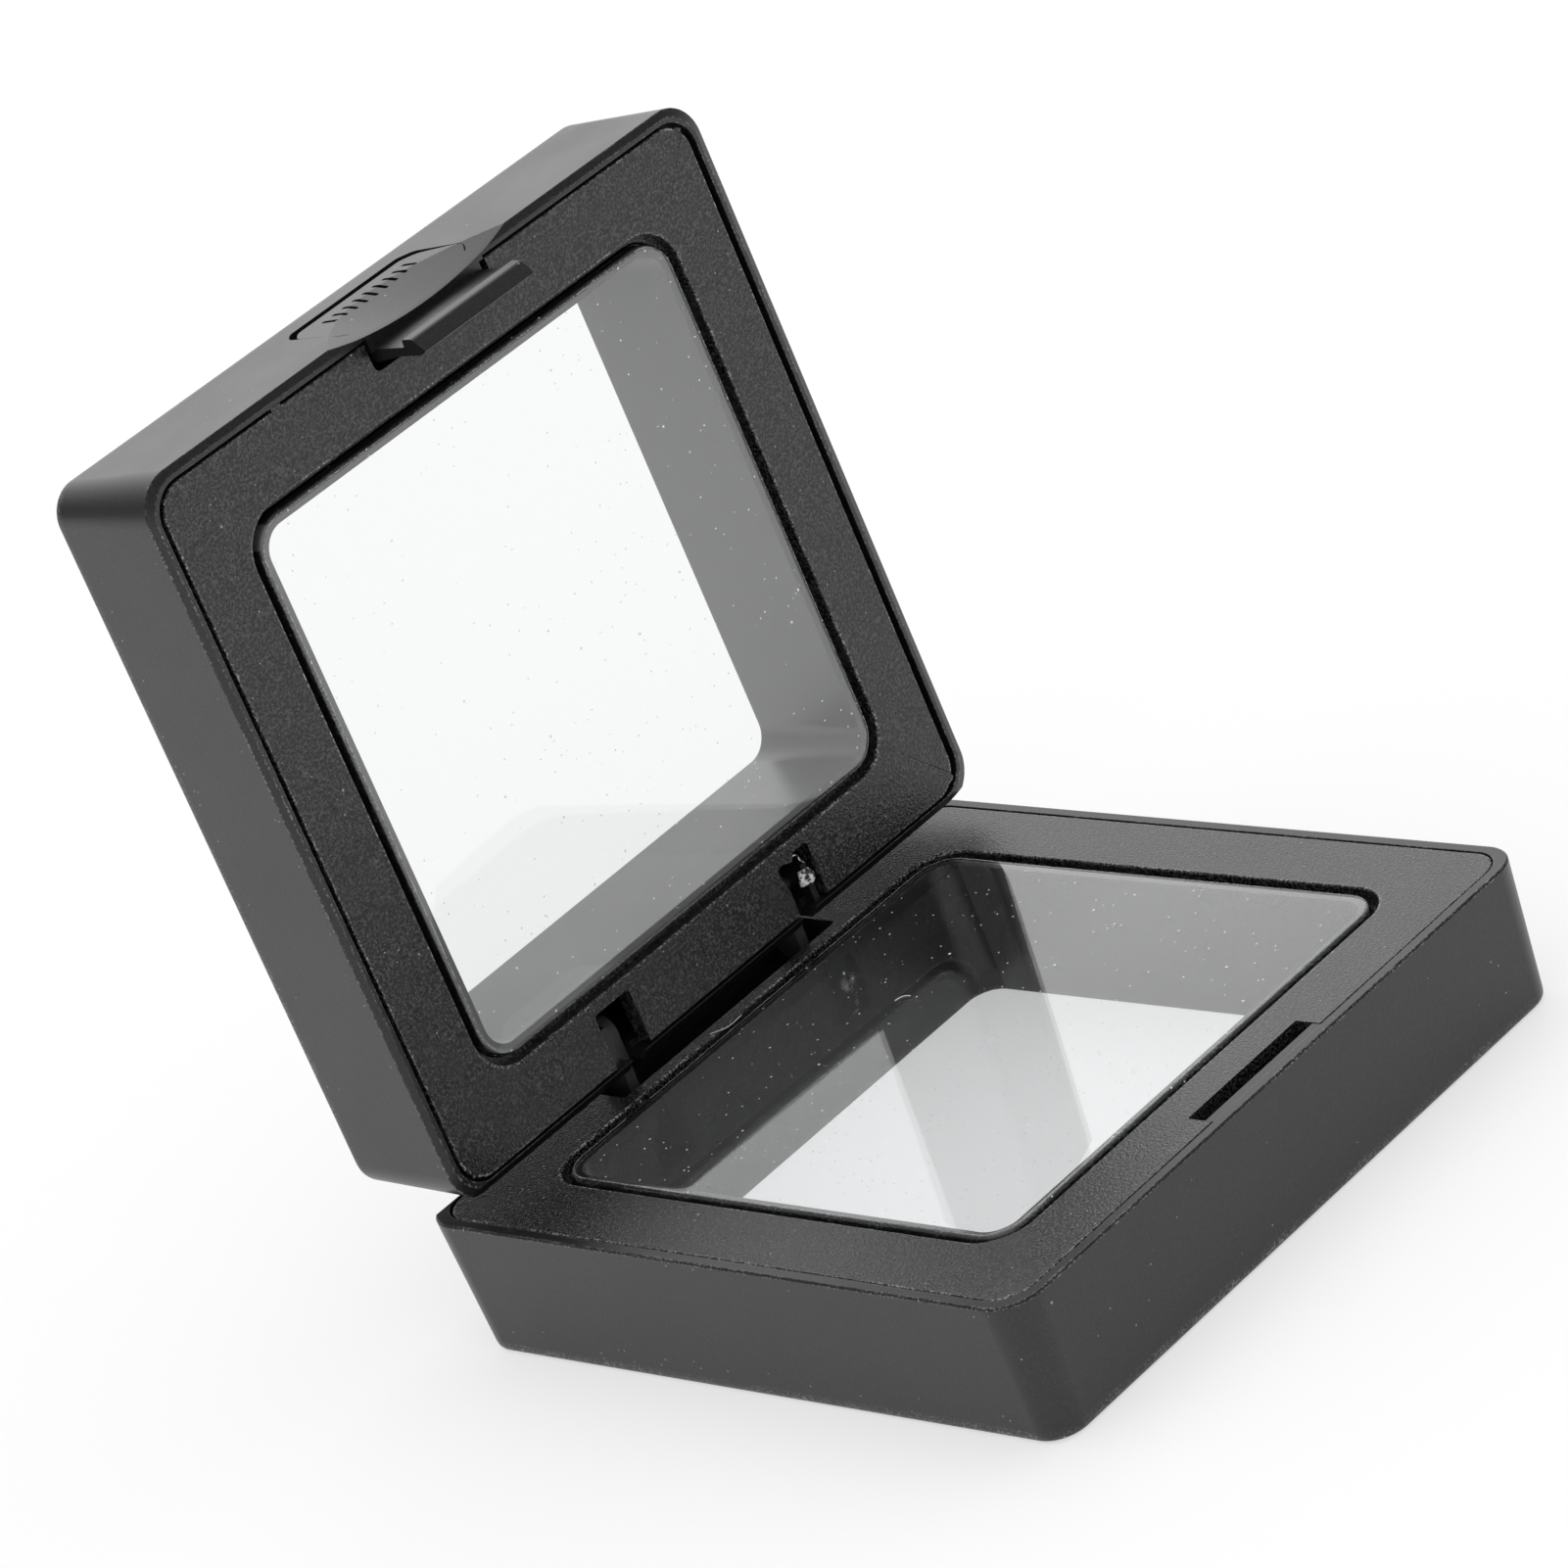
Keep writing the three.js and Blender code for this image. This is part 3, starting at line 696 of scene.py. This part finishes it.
def scoop():
    """The finger scoop: a shallow bowl that runs out up the wall, across the tab and the wall beside it."""
    across = np.linspace(SCOOP_HALF + SCOOP_MARGIN, -SCOOP_HALF - SCOOP_MARGIN, SCOOP_POINTS)
    outside = -BOX_HALF - SCOOP_OUTSIDE
    rings = []
    for z in np.linspace(-OVERRUN, SCOOP_RISE + OVERRUN, SCOOP_LEVELS):
        wall = BOX_HALF - draft(z)
        bowl = [(x, SCOOP_DEPTH * (1 - z / SCOOP_RISE - (x / SCOOP_HALF) ** 2) - wall, z) for x in across]
        rings.append([(across[-1], outside, z), (across[0], outside, z), *bowl])
    return skin("scoop", rings, False)


# Pieces


def crumb():
    """A pale crumpled flake that hangs on the right lug."""
    middle = np.mean(FLAKE, axis=0)
    wave_x, wave_y = FLAKE_WAVES
    rings = []
    for share, level in FLAKE_RINGS:
        edge = middle + share * (np.array(FLAKE) - middle)
        rings.append([(x, y, level + FLAKE_WRINKLE * math.sin(wave_x * x + wave_y * y)) for x, y in edge])
    return skin("crumb", rings, False)


def lid_shell():
    """The lid's shell, with room for the hinge and the tab, and loose flash at the right slot."""
    shell = plain_shell("lid_shell_dressed", LID_SHEEN_SHARES, LID_CHAMFER, LID_GROOVE_EDGE)
    rear = BOX_HALF - WALL
    cheeks = both_sides(lambda s: side_box(
        s, SLOT_OUTER, CHEEK_OUTER, (FOOT_FRONT, SEAT_LEVEL), (rear, FLOOR_LEVEL + OVERRUN)))
    lugs = both_sides(lambda s: side_box(
        s, LUG_INNER, LUG_OUTER, (PIN_Y - LUG_REACH, LUG_INSET), (LUG_REAR, PIN_IN_LID + LUG_REACH)))
    join(shell, [*cheeks, *lugs, front_box(RIB, RIB_DEPTHS, RIB_LEVELS)], "UNION")
    notches = both_sides(lambda s: side_box(
        s, ARM_INNER - NOTCH_GAP, ARM_OUTER + NOTCH_GAP, (rear - NOTCH_START, -OVERRUN),
        (BOX_HALF + OVERRUN, NOTCH_END), NOTCH_ROUND, "y"))
    bores = [bar(PIN_Y, PIN_IN_LID, BORE_RADIUS, LUG_INNER - OVERRUN, BORE_END),
             bar(PIN_Y, PIN_IN_LID, BORE_RADIUS, -BORE_END, OVERRUN - LUG_INNER)]
    round_edges(cut(shell, *notches, *bores, scoop()), SHELL_ROUND)
    unmark_scoop(shell)
    outline = tab_outline(OPENING_GROWTH, OPENING_TOP_GROWTH, -OVERRUN)
    opening = prism(outline, "y", -BOX_HALF - OVERRUN, BLADE_REAR - BOX_HALF)
    return attach(shade(cut(shell, opening)), crumb(), thread(CURL, CURL_RADIUS))


def unmark_scoop(shell):
    """Takes the marks for edge wear and painted highlights off the wall at the scoop, where the cut spreads
    them from the rim.
    """
    for vertex, row in zip(shell.data.vertices, shell.data.attributes["wear_and_glint"].data):
        x, y, z = vertex.co
        if abs(x) < SCOOP_HALF + UNMARKED_MARGIN and y < WALL - BOX_HALF and z < SCOOP_RISE:
            row.value = 0


def base_shell():
    """The base's shell, with sockets for the arms' feet and the latch's catch and pocket."""
    shell = plain_shell("base_shell_dressed", BASE_SHEEN_SHARES, BASE_CHAMFER, BASE_GROOVE_EDGE)
    inner, outer, front = ARM_INNER - SOCKET_GAP, ARM_OUTER + SOCKET_GAP, FOOT_FRONT - SOCKET_GAP
    sockets = both_sides(lambda s: side_box(
        s, inner - SOCKET_WALL, outer + SOCKET_WALL, (front - SOCKET_WALL, SOCKET_LEVEL),
        (BOX_HALF - WALL, FLOOR_LEVEL + OVERRUN)))
    join(shell, [*sockets, front_box(CATCH, CATCH_DEPTHS, CATCH_LEVELS)], "UNION")
    rear = BOX_HALF - WALL - draft(FLOOR_LEVEL) - SOCKET_REAR_GAP
    seats = both_sides(lambda s: side_box(
        s, inner, outer, (front, SOCKET_LEVEL - OVERRUN), (rear, FLOOR_LEVEL)))
    cut(shell, *seats, front_box(POCKET, POCKET_DEPTHS, POCKET_LEVELS))
    return shade(round_edges(shell, SHELL_ROUND))


def latch_notch(across, depth, corner):
    """What is cut from a plate's front edge for the hook."""
    return front_box(across, (-OVERRUN, depth), (-OVERRUN, PLATE_THICKNESS + OVERRUN), corner)


def lid_plate():
    """The lid's plate, with two hinge slots and the notch for the hook."""
    plate = plain_plate("lid_plate_dressed", *LID_PLATE)
    top = COLLAR_TOP + OVERRUN
    left = box((-SLOT_OUTER, SLOT_FRONT, -OVERRUN), (-SLOT_INNER, BOX_HALF, top), SLOT_ROUND)
    right = prism(soften(RAGGED_SLOT)[:, :2], "z", -OVERRUN, top)
    cut(plate, left, right, latch_notch(LID_NOTCH, LID_NOTCH_DEPTH, LID_NOTCH_ROUND))
    join(plate, [front_box(BRIDGE, BRIDGE_DEPTHS, BRIDGE_LEVELS)], "UNION")
    return shade(round_edges(plate, PLATE_ROUND))


def base_plate():
    """The base's plate, with one cut-out for both arms and the slot for the hook."""
    plate = plain_plate("base_plate_dressed", *BASE_PLATE)
    top = COLLAR_TOP + OVERRUN
    cutout = box((-SLOT_OUTER, CUTOUT_FRONT, -OVERRUN), (SLOT_OUTER, BOX_HALF, top), SLOT_ROUND)
    cut(plate, cutout, latch_notch(BASE_NOTCH, BASE_NOTCH_DEPTH, BASE_NOTCH_ROUND))
    return shade(round_edges(plate, PLATE_ROUND))


def hinge_arm(side, word):
    """A flat leaf with a round head and a foot that is set forward under the plate."""
    rear = BOX_HALF - WALL - draft(FLOOR_LEVEL) - FOOT_REAR_GAP
    sole = FOOT_LIFT - FLOOR_LEVEL
    head = [(PIN_Y + ARM_HALF * math.cos(t), PIN_ABOVE_BASE + ARM_HALF * math.sin(t))
            for t in np.linspace(0, math.pi, HEAD_STEPS)]
    foot = [
        (PIN_Y - ARM_HALF, ARM_FRONT_STRAIGHT), (FOOT_FRONT, ARM_FRONT_STRAIGHT - ARM_SLOPE),
        (FOOT_FRONT, sole), (rear, sole), (rear, ARM_STRAIGHT - ARM_SLOPE), (PIN_Y + ARM_HALF, ARM_STRAIGHT),
    ]
    left, right = (ARM_INNER, ARM_OUTER) if side > 0 else (-ARM_OUTER, -ARM_INNER)
    arm = prism(head + foot, "x", left, right, f"hinge_arm_{word}_dressed")
    bore = bar(PIN_Y, PIN_ABOVE_BASE, BORE_RADIUS, left + ARM_BORE[0], left + ARM_BORE[1])
    shade(round_edges(cut(arm, bore), ARM_ROUND))
    # Painted light: a share of the painted sheen lightens the arms in their shaded slots
    mark(arm.data, "tube", np.full(len(arm.data.vertices), ARM_SHEEN_SHARE))
    return arm


def hinge_pin(side, word):
    """A short pin from an arm outward into the lid."""
    low, high = (PIN_INNER, PIN_OUTER) if side > 0 else (-PIN_OUTER, -PIN_INNER)
    pin = bar(PIN_Y, PIN_ABOVE_BASE, PIN_RADIUS, low, high, PIN_CHAMFER)
    pin.name = f"hinge_pin_{word}_dressed"
    return shade(round_edges(pin, PIN_ROUND, segments=2, angle=PIN_ROUND_ANGLE))


def tab_face():
    """The push tab, cut from the lid wall's own outside, with the scoop and the grip grooves."""
    front, rear = -BOX_HALF - OVERRUN, TAB_REAR - BOX_HALF
    face = sweep("latch_tab_dressed", [
        (BOX_HALF - LID_CHAMFER[0], 0, CHAMFER_CORNER, 0),
        (BOX_HALF, LID_CHAMFER[1], CORNER_RADIUS, FINE_EDGE),
        (BOX_HALF - SIDE_DRAFT, HALF_DEPTH, CORNER_RADIUS - SIDE_DRAFT, OUTER_EDGE),
        (BOX_HALF - TAB_BLOCK_DEPTH, HALF_DEPTH, CHAMFER_CORNER, 0),
    ], closed=False)
    join(face, [prism(tab_outline(ROUGH_GROWTH, ROUGH_TOP_GROWTH, -OVERRUN), "y", front, rear)], "INTERSECT")
    cut(face, scoop())
    grooves = []
    for i in range(GRIP_COUNT):
        x = GRIP_PITCH * (i - (GRIP_COUNT - 1) / 2)
        span = (x - GRIP_HALF, x + GRIP_HALF)
        grooves.append(front_box(span, (-OVERRUN, GRIP_DEPTH), GRIP_LEVELS, GRIP_ROUND, "y"))
    round_edges(cut(face, *grooves), TAB_ROUND)
    outline = tab_outline(TAB_GROWTH, 0.0, 0.0, TAB_LIFT, TAB_RIGHT_SLIT)
    join(face, [prism(outline, "y", front, FACE_CUT_REAR - BOX_HALF)], "INTERSECT")
    corner = front_box((HOOK_RIGHT, FACE_CUT_SIDE), (FACE_STEP, FACE_CUT_REAR), (-OVERRUN, TAB_FOOT))
    return cut(face, corner)


def latch_hook():
    """The hook that enters the base, with its blade and the spring tongue in the lid."""
    outline = [(p[0] - BOX_HALF, p[1]) for p in soften(HOOK_PROFILE)]
    hook = prism(outline, "x", -HOOK_HALF, HOOK_HALF)
    join(hook, [prism(soften(HOOK_SIDES)[:, :2], "y", -BOX_HALF, 0)], "INTERSECT")
    return round_edges(hook, HOOK_ROUND)


def latch_tab():
    """The tab with the hook and the spring tongue behind it, as one moulding."""
    return shade(join(tab_face(), [latch_hook()], "UNION"))


def place(made, matrix, body, node):
    """Puts a finished piece where its CAD node is, in metres, on the same body."""
    made.data.transform(Matrix.Scale(MM, 4) @ matrix)
    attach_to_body(made, body)
    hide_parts(node)


# Materials


def graph(name):
    """A new material and its empty node tree."""
    material = bpy.data.materials.new(name)
    material.use_nodes = True
    material.node_tree.nodes.clear()
    return material, material.node_tree


def add(tree, kind, inputs=None, **settings):
    """A node with its settings, and its inputs given as values or as other sockets."""
    node = tree.nodes.new("ShaderNode" + kind)
    for key, value in settings.items():
        setattr(node, key, value)
    for key, value in (inputs or {}).items():
        if isinstance(value, bpy.types.NodeSocket):
            tree.links.new(value, node.inputs[key])
        else:
            node.inputs[key].default_value = value
    return node


def noise(tree, size, detail=2.0, roughness=0.5):
    """Noise with features of a size in millimetres."""
    vector = add(tree, "TexCoord").outputs["Object"]
    node = add(tree, "TexNoise", {"Vector": vector, "Scale": 1 / (size * MM), "Detail": detail,
                                  "Roughness": roughness})
    return node.outputs["Fac"]


def remap(tree, value, low, high, to_low=0.0, to_high=1.0):
    """A value brought from one span to another, and kept inside it."""
    node = add(tree, "MapRange", {"Value": value, "From Min": low, "From Max": high,
                                  "To Min": to_low, "To Max": to_high})
    return node.outputs["Result"]


def maths(tree, operation, first, second):
    return add(tree, "Math", {0: first, 1: second}, operation=operation).outputs[0]


def blend(tree, share, first, second):
    """A mix of two colours, each one a value or another socket."""
    node = add(tree, "Mix", {"Factor": share}, data_type="RGBA")
    for socket, value in ((node.inputs[MIX_FIRST], first), (node.inputs[MIX_SECOND], second)):
        if isinstance(value, bpy.types.NodeSocket):
            tree.links.new(value, socket)
        else:
            socket.default_value = (*value, 1)
    return node.outputs[MIX_RESULT]


def specks(tree, spacing, radius, share):
    """Scattered dots: cells of a spacing, of which a share hold a dot of a radius, in millimetres."""
    vector = add(tree, "TexCoord").outputs["Object"]
    cells = add(tree, "TexVoronoi", {"Vector": vector, "Scale": 1 / (spacing * MM), "Randomness": 1.0})
    draw = add(tree, "SeparateColor", {"Color": cells.outputs["Color"]}).outputs[0]
    chosen = maths(tree, "LESS_THAN", draw, share)
    reach = radius / spacing
    dot = remap(tree, cells.outputs["Distance"], reach, reach / 2)
    return maths(tree, "MULTIPLY", dot, chosen)


def marked(tree, name):
    """The number that the mesh keeps under a name."""
    return add(tree, "Attribute", attribute_name=name).outputs["Fac"]


def rubbed_and_glint_spots(tree):
    """Small light spots along rounded edges, part wear and part painted highlight, thinner in some stretches
    than in others.
    """
    spots = remap(tree, noise(tree, RUB_GLINT_SIZE, roughness=0.6), *RUB_GLINT_BAND)
    patches = remap(tree, noise(tree, RUB_GLINT_PATCH_SIZE), *RUB_GLINT_PATCH_BAND, *RUB_GLINT_PATCH_LEVELS)
    return maths(tree, "MULTIPLY", marked(tree, "wear_and_glint"), maths(tree, "MULTIPLY", spots, patches))


def plastic(name, low_tone, high_tone, roughness, specular, grain, grain_height, dust, scuff_and_glint, rubbed_and_glint_tone):
    """Black moulded plastic with a fine grain, light spots on edges that are part wear and part painted
    highlight, painted sheen where marked, and a little dust.
    """
    material, tree = graph(name)
    fine = noise(tree, grain, roughness=0.6)
    rub_and_glint = maths(tree, "MULTIPLY", rubbed_and_glint_spots(tree), scuff_and_glint)
    dots = maths(tree, "MAXIMUM", specks(tree, *FINE_DUST, dust), specks(tree, *COARSE_DUST, dust))
    lint = marked(tree, "lint")
    crumpled = blend(tree, remap(tree, noise(tree, LINT_SIZE, detail=1), *LINT_BAND), *LINT_TONES)
    tone = blend(tree, remap(tree, fine, *GRAIN_BAND), low_tone, high_tone)
    # Painted sheen: a lighter tone on the tubes' inside and the hinge arms, in place of reflection and light
    tone = blend(tree, marked(tree, "tube"), tone, PAINTED_SHEEN_TONE)
    # Light spots on edges: part wear, part painted highlight
    tone = blend(tree, rub_and_glint, tone, rubbed_and_glint_tone)
    tone = blend(tree, maths(tree, "MULTIPLY", dots, DUST_STRENGTH), tone, DUST_TONE)
    tone = blend(tree, lint, tone, crumpled)
    mottle = noise(tree, MOTTLE_SIZE, detail=3)
    rough = remap(tree, mottle, *MOTTLE_BAND, roughness - MOTTLE_SPREAD, roughness + MOTTLE_SPREAD)
    rough = maths(tree, "SUBTRACT", rough, maths(tree, "MULTIPLY", lint, LINT_SHEEN))
    bump = add(tree, "Bump", {"Height": fine, "Distance": grain_height * MM, "Strength": 1.0})
    shader = add(tree, "BsdfPrincipled", {
        "Base Color": tone, "Roughness": rough, "Specular IOR Level": specular, "IOR": PLASTIC_IOR,
        "Normal": bump.outputs["Normal"]})
    add(tree, "OutputMaterial", {"Surface": shader.outputs[0]})
    return material


def clear_sheet(tree):
    """Clear film without dust: it lets straight light through and mirrors more of it at grazing angles."""
    wave = noise(tree, WAVE_SIZE, detail=1)
    bump = add(tree, "Bump", {"Height": wave, "Distance": WAVE_HEIGHT * MM, "Strength": 1.0})
    # From inside, the ray leaves unbent, so the ratio is turned over again
    behind = add(tree, "NewGeometry").outputs["Backfacing"]
    ratio = remap(tree, behind, 0, 1, FILM_IOR, 1 / FILM_IOR)
    clear = add(tree, "BsdfTransparent", {"Color": FILM_TINT})
    gloss = add(tree, "BsdfAnisotropic", {
        "Color": WHITE, "Roughness": FILM_ROUGHNESS, "Normal": bump.outputs["Normal"]})
    share = add(tree, "Fresnel", {"IOR": ratio}).outputs[0]
    return add(tree, "MixShader", {0: share, 1: clear.outputs[0], 2: gloss.outputs[0]}).outputs[0]


def clear_film(name):
    """Thin clear film with specks of dust, a painted highlight in a broken line along its edge, and fibres.
    """
    material, tree = graph(name)
    dust = add(tree, "BsdfDiffuse", {"Color": SPECK_TONE})
    dots = maths(tree, "MAXIMUM", specks(tree, *FINE_SPECKS), specks(tree, *COARSE_SPECKS))
    # Painted highlight: a broken light line along the film's bent edge
    edge = maths(tree, "MULTIPLY", marked(tree, "wear_and_glint"), remap(tree, noise(tree, EDGE_GLINT_SIZE), *EDGE_GLINT_BAND))
    dots = maths(tree, "MAXIMUM", dots, maths(tree, "MULTIPLY", edge, EDGE_GLINT_STRENGTH))
    dots = maths(tree, "MAXIMUM", dots, marked(tree, "lint"))
    mixed = add(tree, "MixShader", {0: dots, 1: clear_sheet(tree), 2: dust.outputs[0]})
    add(tree, "OutputMaterial", {"Surface": mixed.outputs[0]})
    return material


def steel(name):
    """Steel with a fine uneven sheen."""
    material, tree = graph(name)
    rough = remap(tree, noise(tree, STEEL_GRAIN, detail=3), *STEEL_BAND, *STEEL_ROUGHNESS)
    shader = add(tree, "BsdfPrincipled", {"Base Color": STEEL_TONE, "Metallic": 1.0, "Roughness": rough})
    add(tree, "OutputMaterial", {"Surface": shader.outputs[0]})
    return material


def paint(made, material):
    made.data.materials.clear()
    made.data.materials.append(material)


# Surroundings


def room():
    """A plain white room, which mirrors show brighter behind the box than in front of it."""
    world = bpy.data.worlds.new("studio")
    bpy.context.scene.world = world
    world.use_nodes = True
    tree = world.node_tree
    tree.nodes.clear()
    direction = add(tree, "TexCoord").outputs["Generated"]
    toward = add(tree, "VectorMath", {0: direction, 1: BRIGHT_SIDE}, operation="DOT_PRODUCT")
    level = remap(tree, toward.outputs["Value"], *BRIGHT_SPAN, *ROOM_LEVELS)
    mirrored = add(tree, "LightPath").outputs["Is Glossy Ray"]
    level = add(tree, "Mix", {"Factor": mirrored, "A": 1.0, "B": level}).outputs[0]
    sky = add(tree, "Background", {"Color": WHITE, "Strength": level})
    add(tree, "OutputWorld", {"Surface": sky.outputs[0]})


def floor_white():
    """White paper: mostly even white to the eye, with the rest of its tone left to light and shadow."""
    material, tree = graph("floor_white")
    paper = add(tree, "BsdfDiffuse", {"Color": PAPER_TONE})
    white = add(tree, "Emission", {"Color": WHITE, "Strength": 1.0})
    path = add(tree, "LightPath").outputs
    seen = maths(tree, "MAXIMUM", path["Is Camera Ray"], path["Is Transmission Ray"])
    share = maths(tree, "MAXIMUM", maths(tree, "MULTIPLY", seen, EVEN_SHARE),
                  maths(tree, "MULTIPLY", path["Is Glossy Ray"], MIRROR_SHARE))
    tone = add(tree, "MixShader", {0: share, 1: paper.outputs[0], 2: white.outputs[0]})
    add(tree, "OutputMaterial", {"Surface": tone.outputs[0]})
    return material


def studio_floor():
    """A square sheet of the white paper under the box."""
    floor = link("floor", bpy.data.meshes.new("floor"))
    corners = [(-FLOOR_REACH, -FLOOR_REACH, 0), (FLOOR_REACH, -FLOOR_REACH, 0),
               (FLOOR_REACH, FLOOR_REACH, 0), (-FLOOR_REACH, FLOOR_REACH, 0)]
    floor.data.from_pydata(corners, [], [(0, 1, 2, 3)])
    floor.location.z = -FLOOR_DROP
    paint(floor, floor_white())


def top_light():
    """A square lamp above and behind the box, turned to it."""
    data = bpy.data.lights.new("top_light", "AREA")
    data.shape, data.size, data.energy = "SQUARE", LAMP_SIZE, LAMP_POWER
    made = link("top_light", data)
    made.location = LAMP_PLACE
    made.rotation_euler = (Vector(LAMP_TARGET) - Vector(LAMP_PLACE)).to_track_quat("-Z", "Y").to_euler()


def camera():
    """The photograph's view."""
    data = bpy.data.cameras.new("camera")
    data.lens, data.sensor_width = LENS, SENSOR
    data.clip_start, data.clip_end = CLIP
    made = link("camera", data)
    made.location = CAMERA_PLACE
    made.rotation_euler = [math.radians(a) for a in CAMERA_TURN]
    bpy.context.scene.camera = made


def main():
    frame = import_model()
    hinge = next(j for j in frame["joints"] if j["name"] == "lid_hinge")
    pivot = Vector(hinge["pos_m"]) / MM
    open_angle = math.radians(hinge["range_deg"][0])
    stand = Matrix.Translation(pivot - Vector((0, PIN_Y, PIN_ABOVE_BASE)))
    base_place = stand @ Matrix.Rotation(math.pi, 4, "Y")
    lid_place = (Matrix.Translation(pivot) @ Matrix.Rotation(open_angle, 4, "X")
                 @ Matrix.Translation((0, -PIN_Y, -PIN_IN_LID)))

    shell = plastic("shell_plastic", **SHELL_LOOK)
    plate = plastic("plate_plastic", **PLATE_LOOK)
    clear = clear_film("clear_film")
    pin = steel("pin_steel")

    pieces = [
        (base_shell(), base_place, "base", "base_shell", "shell_plastic", shell),
        (base_plate(), base_place, "base", "base_inner_frame", "plate_plastic", plate),
        (base_film(), base_place, "base", "base_film", "clear_film", clear),
        (lid_shell(), lid_place, "lid", "lid_shell", "shell_plastic", shell),
        (lid_plate(), lid_place, "lid", "lid_inner_frame", "plate_plastic", plate),
        (film("lid_film_dressed"), lid_place, "lid", "lid_film", "clear_film", clear),
        (latch_tab(), lid_place, "latch", "latch_tab", "shell_plastic", shell),
    ]
    for side, word in ((-1, "left"), (1, "right")):
        pieces.append((hinge_arm(side, word), stand, "base", f"hinge_arm_{word}", "shell_plastic", shell))
        pieces.append((hinge_pin(side, word), stand, "base", f"hinge_pin_{word}", "pin_steel", pin))
    for made, matrix, body, node, slot, material in pieces:
        place(made, matrix, body, node)
        paint(made, material)

    room()
    studio_floor()
    top_light()
    camera()
    bpy.context.scene.view_settings.view_transform = "Standard"


main()
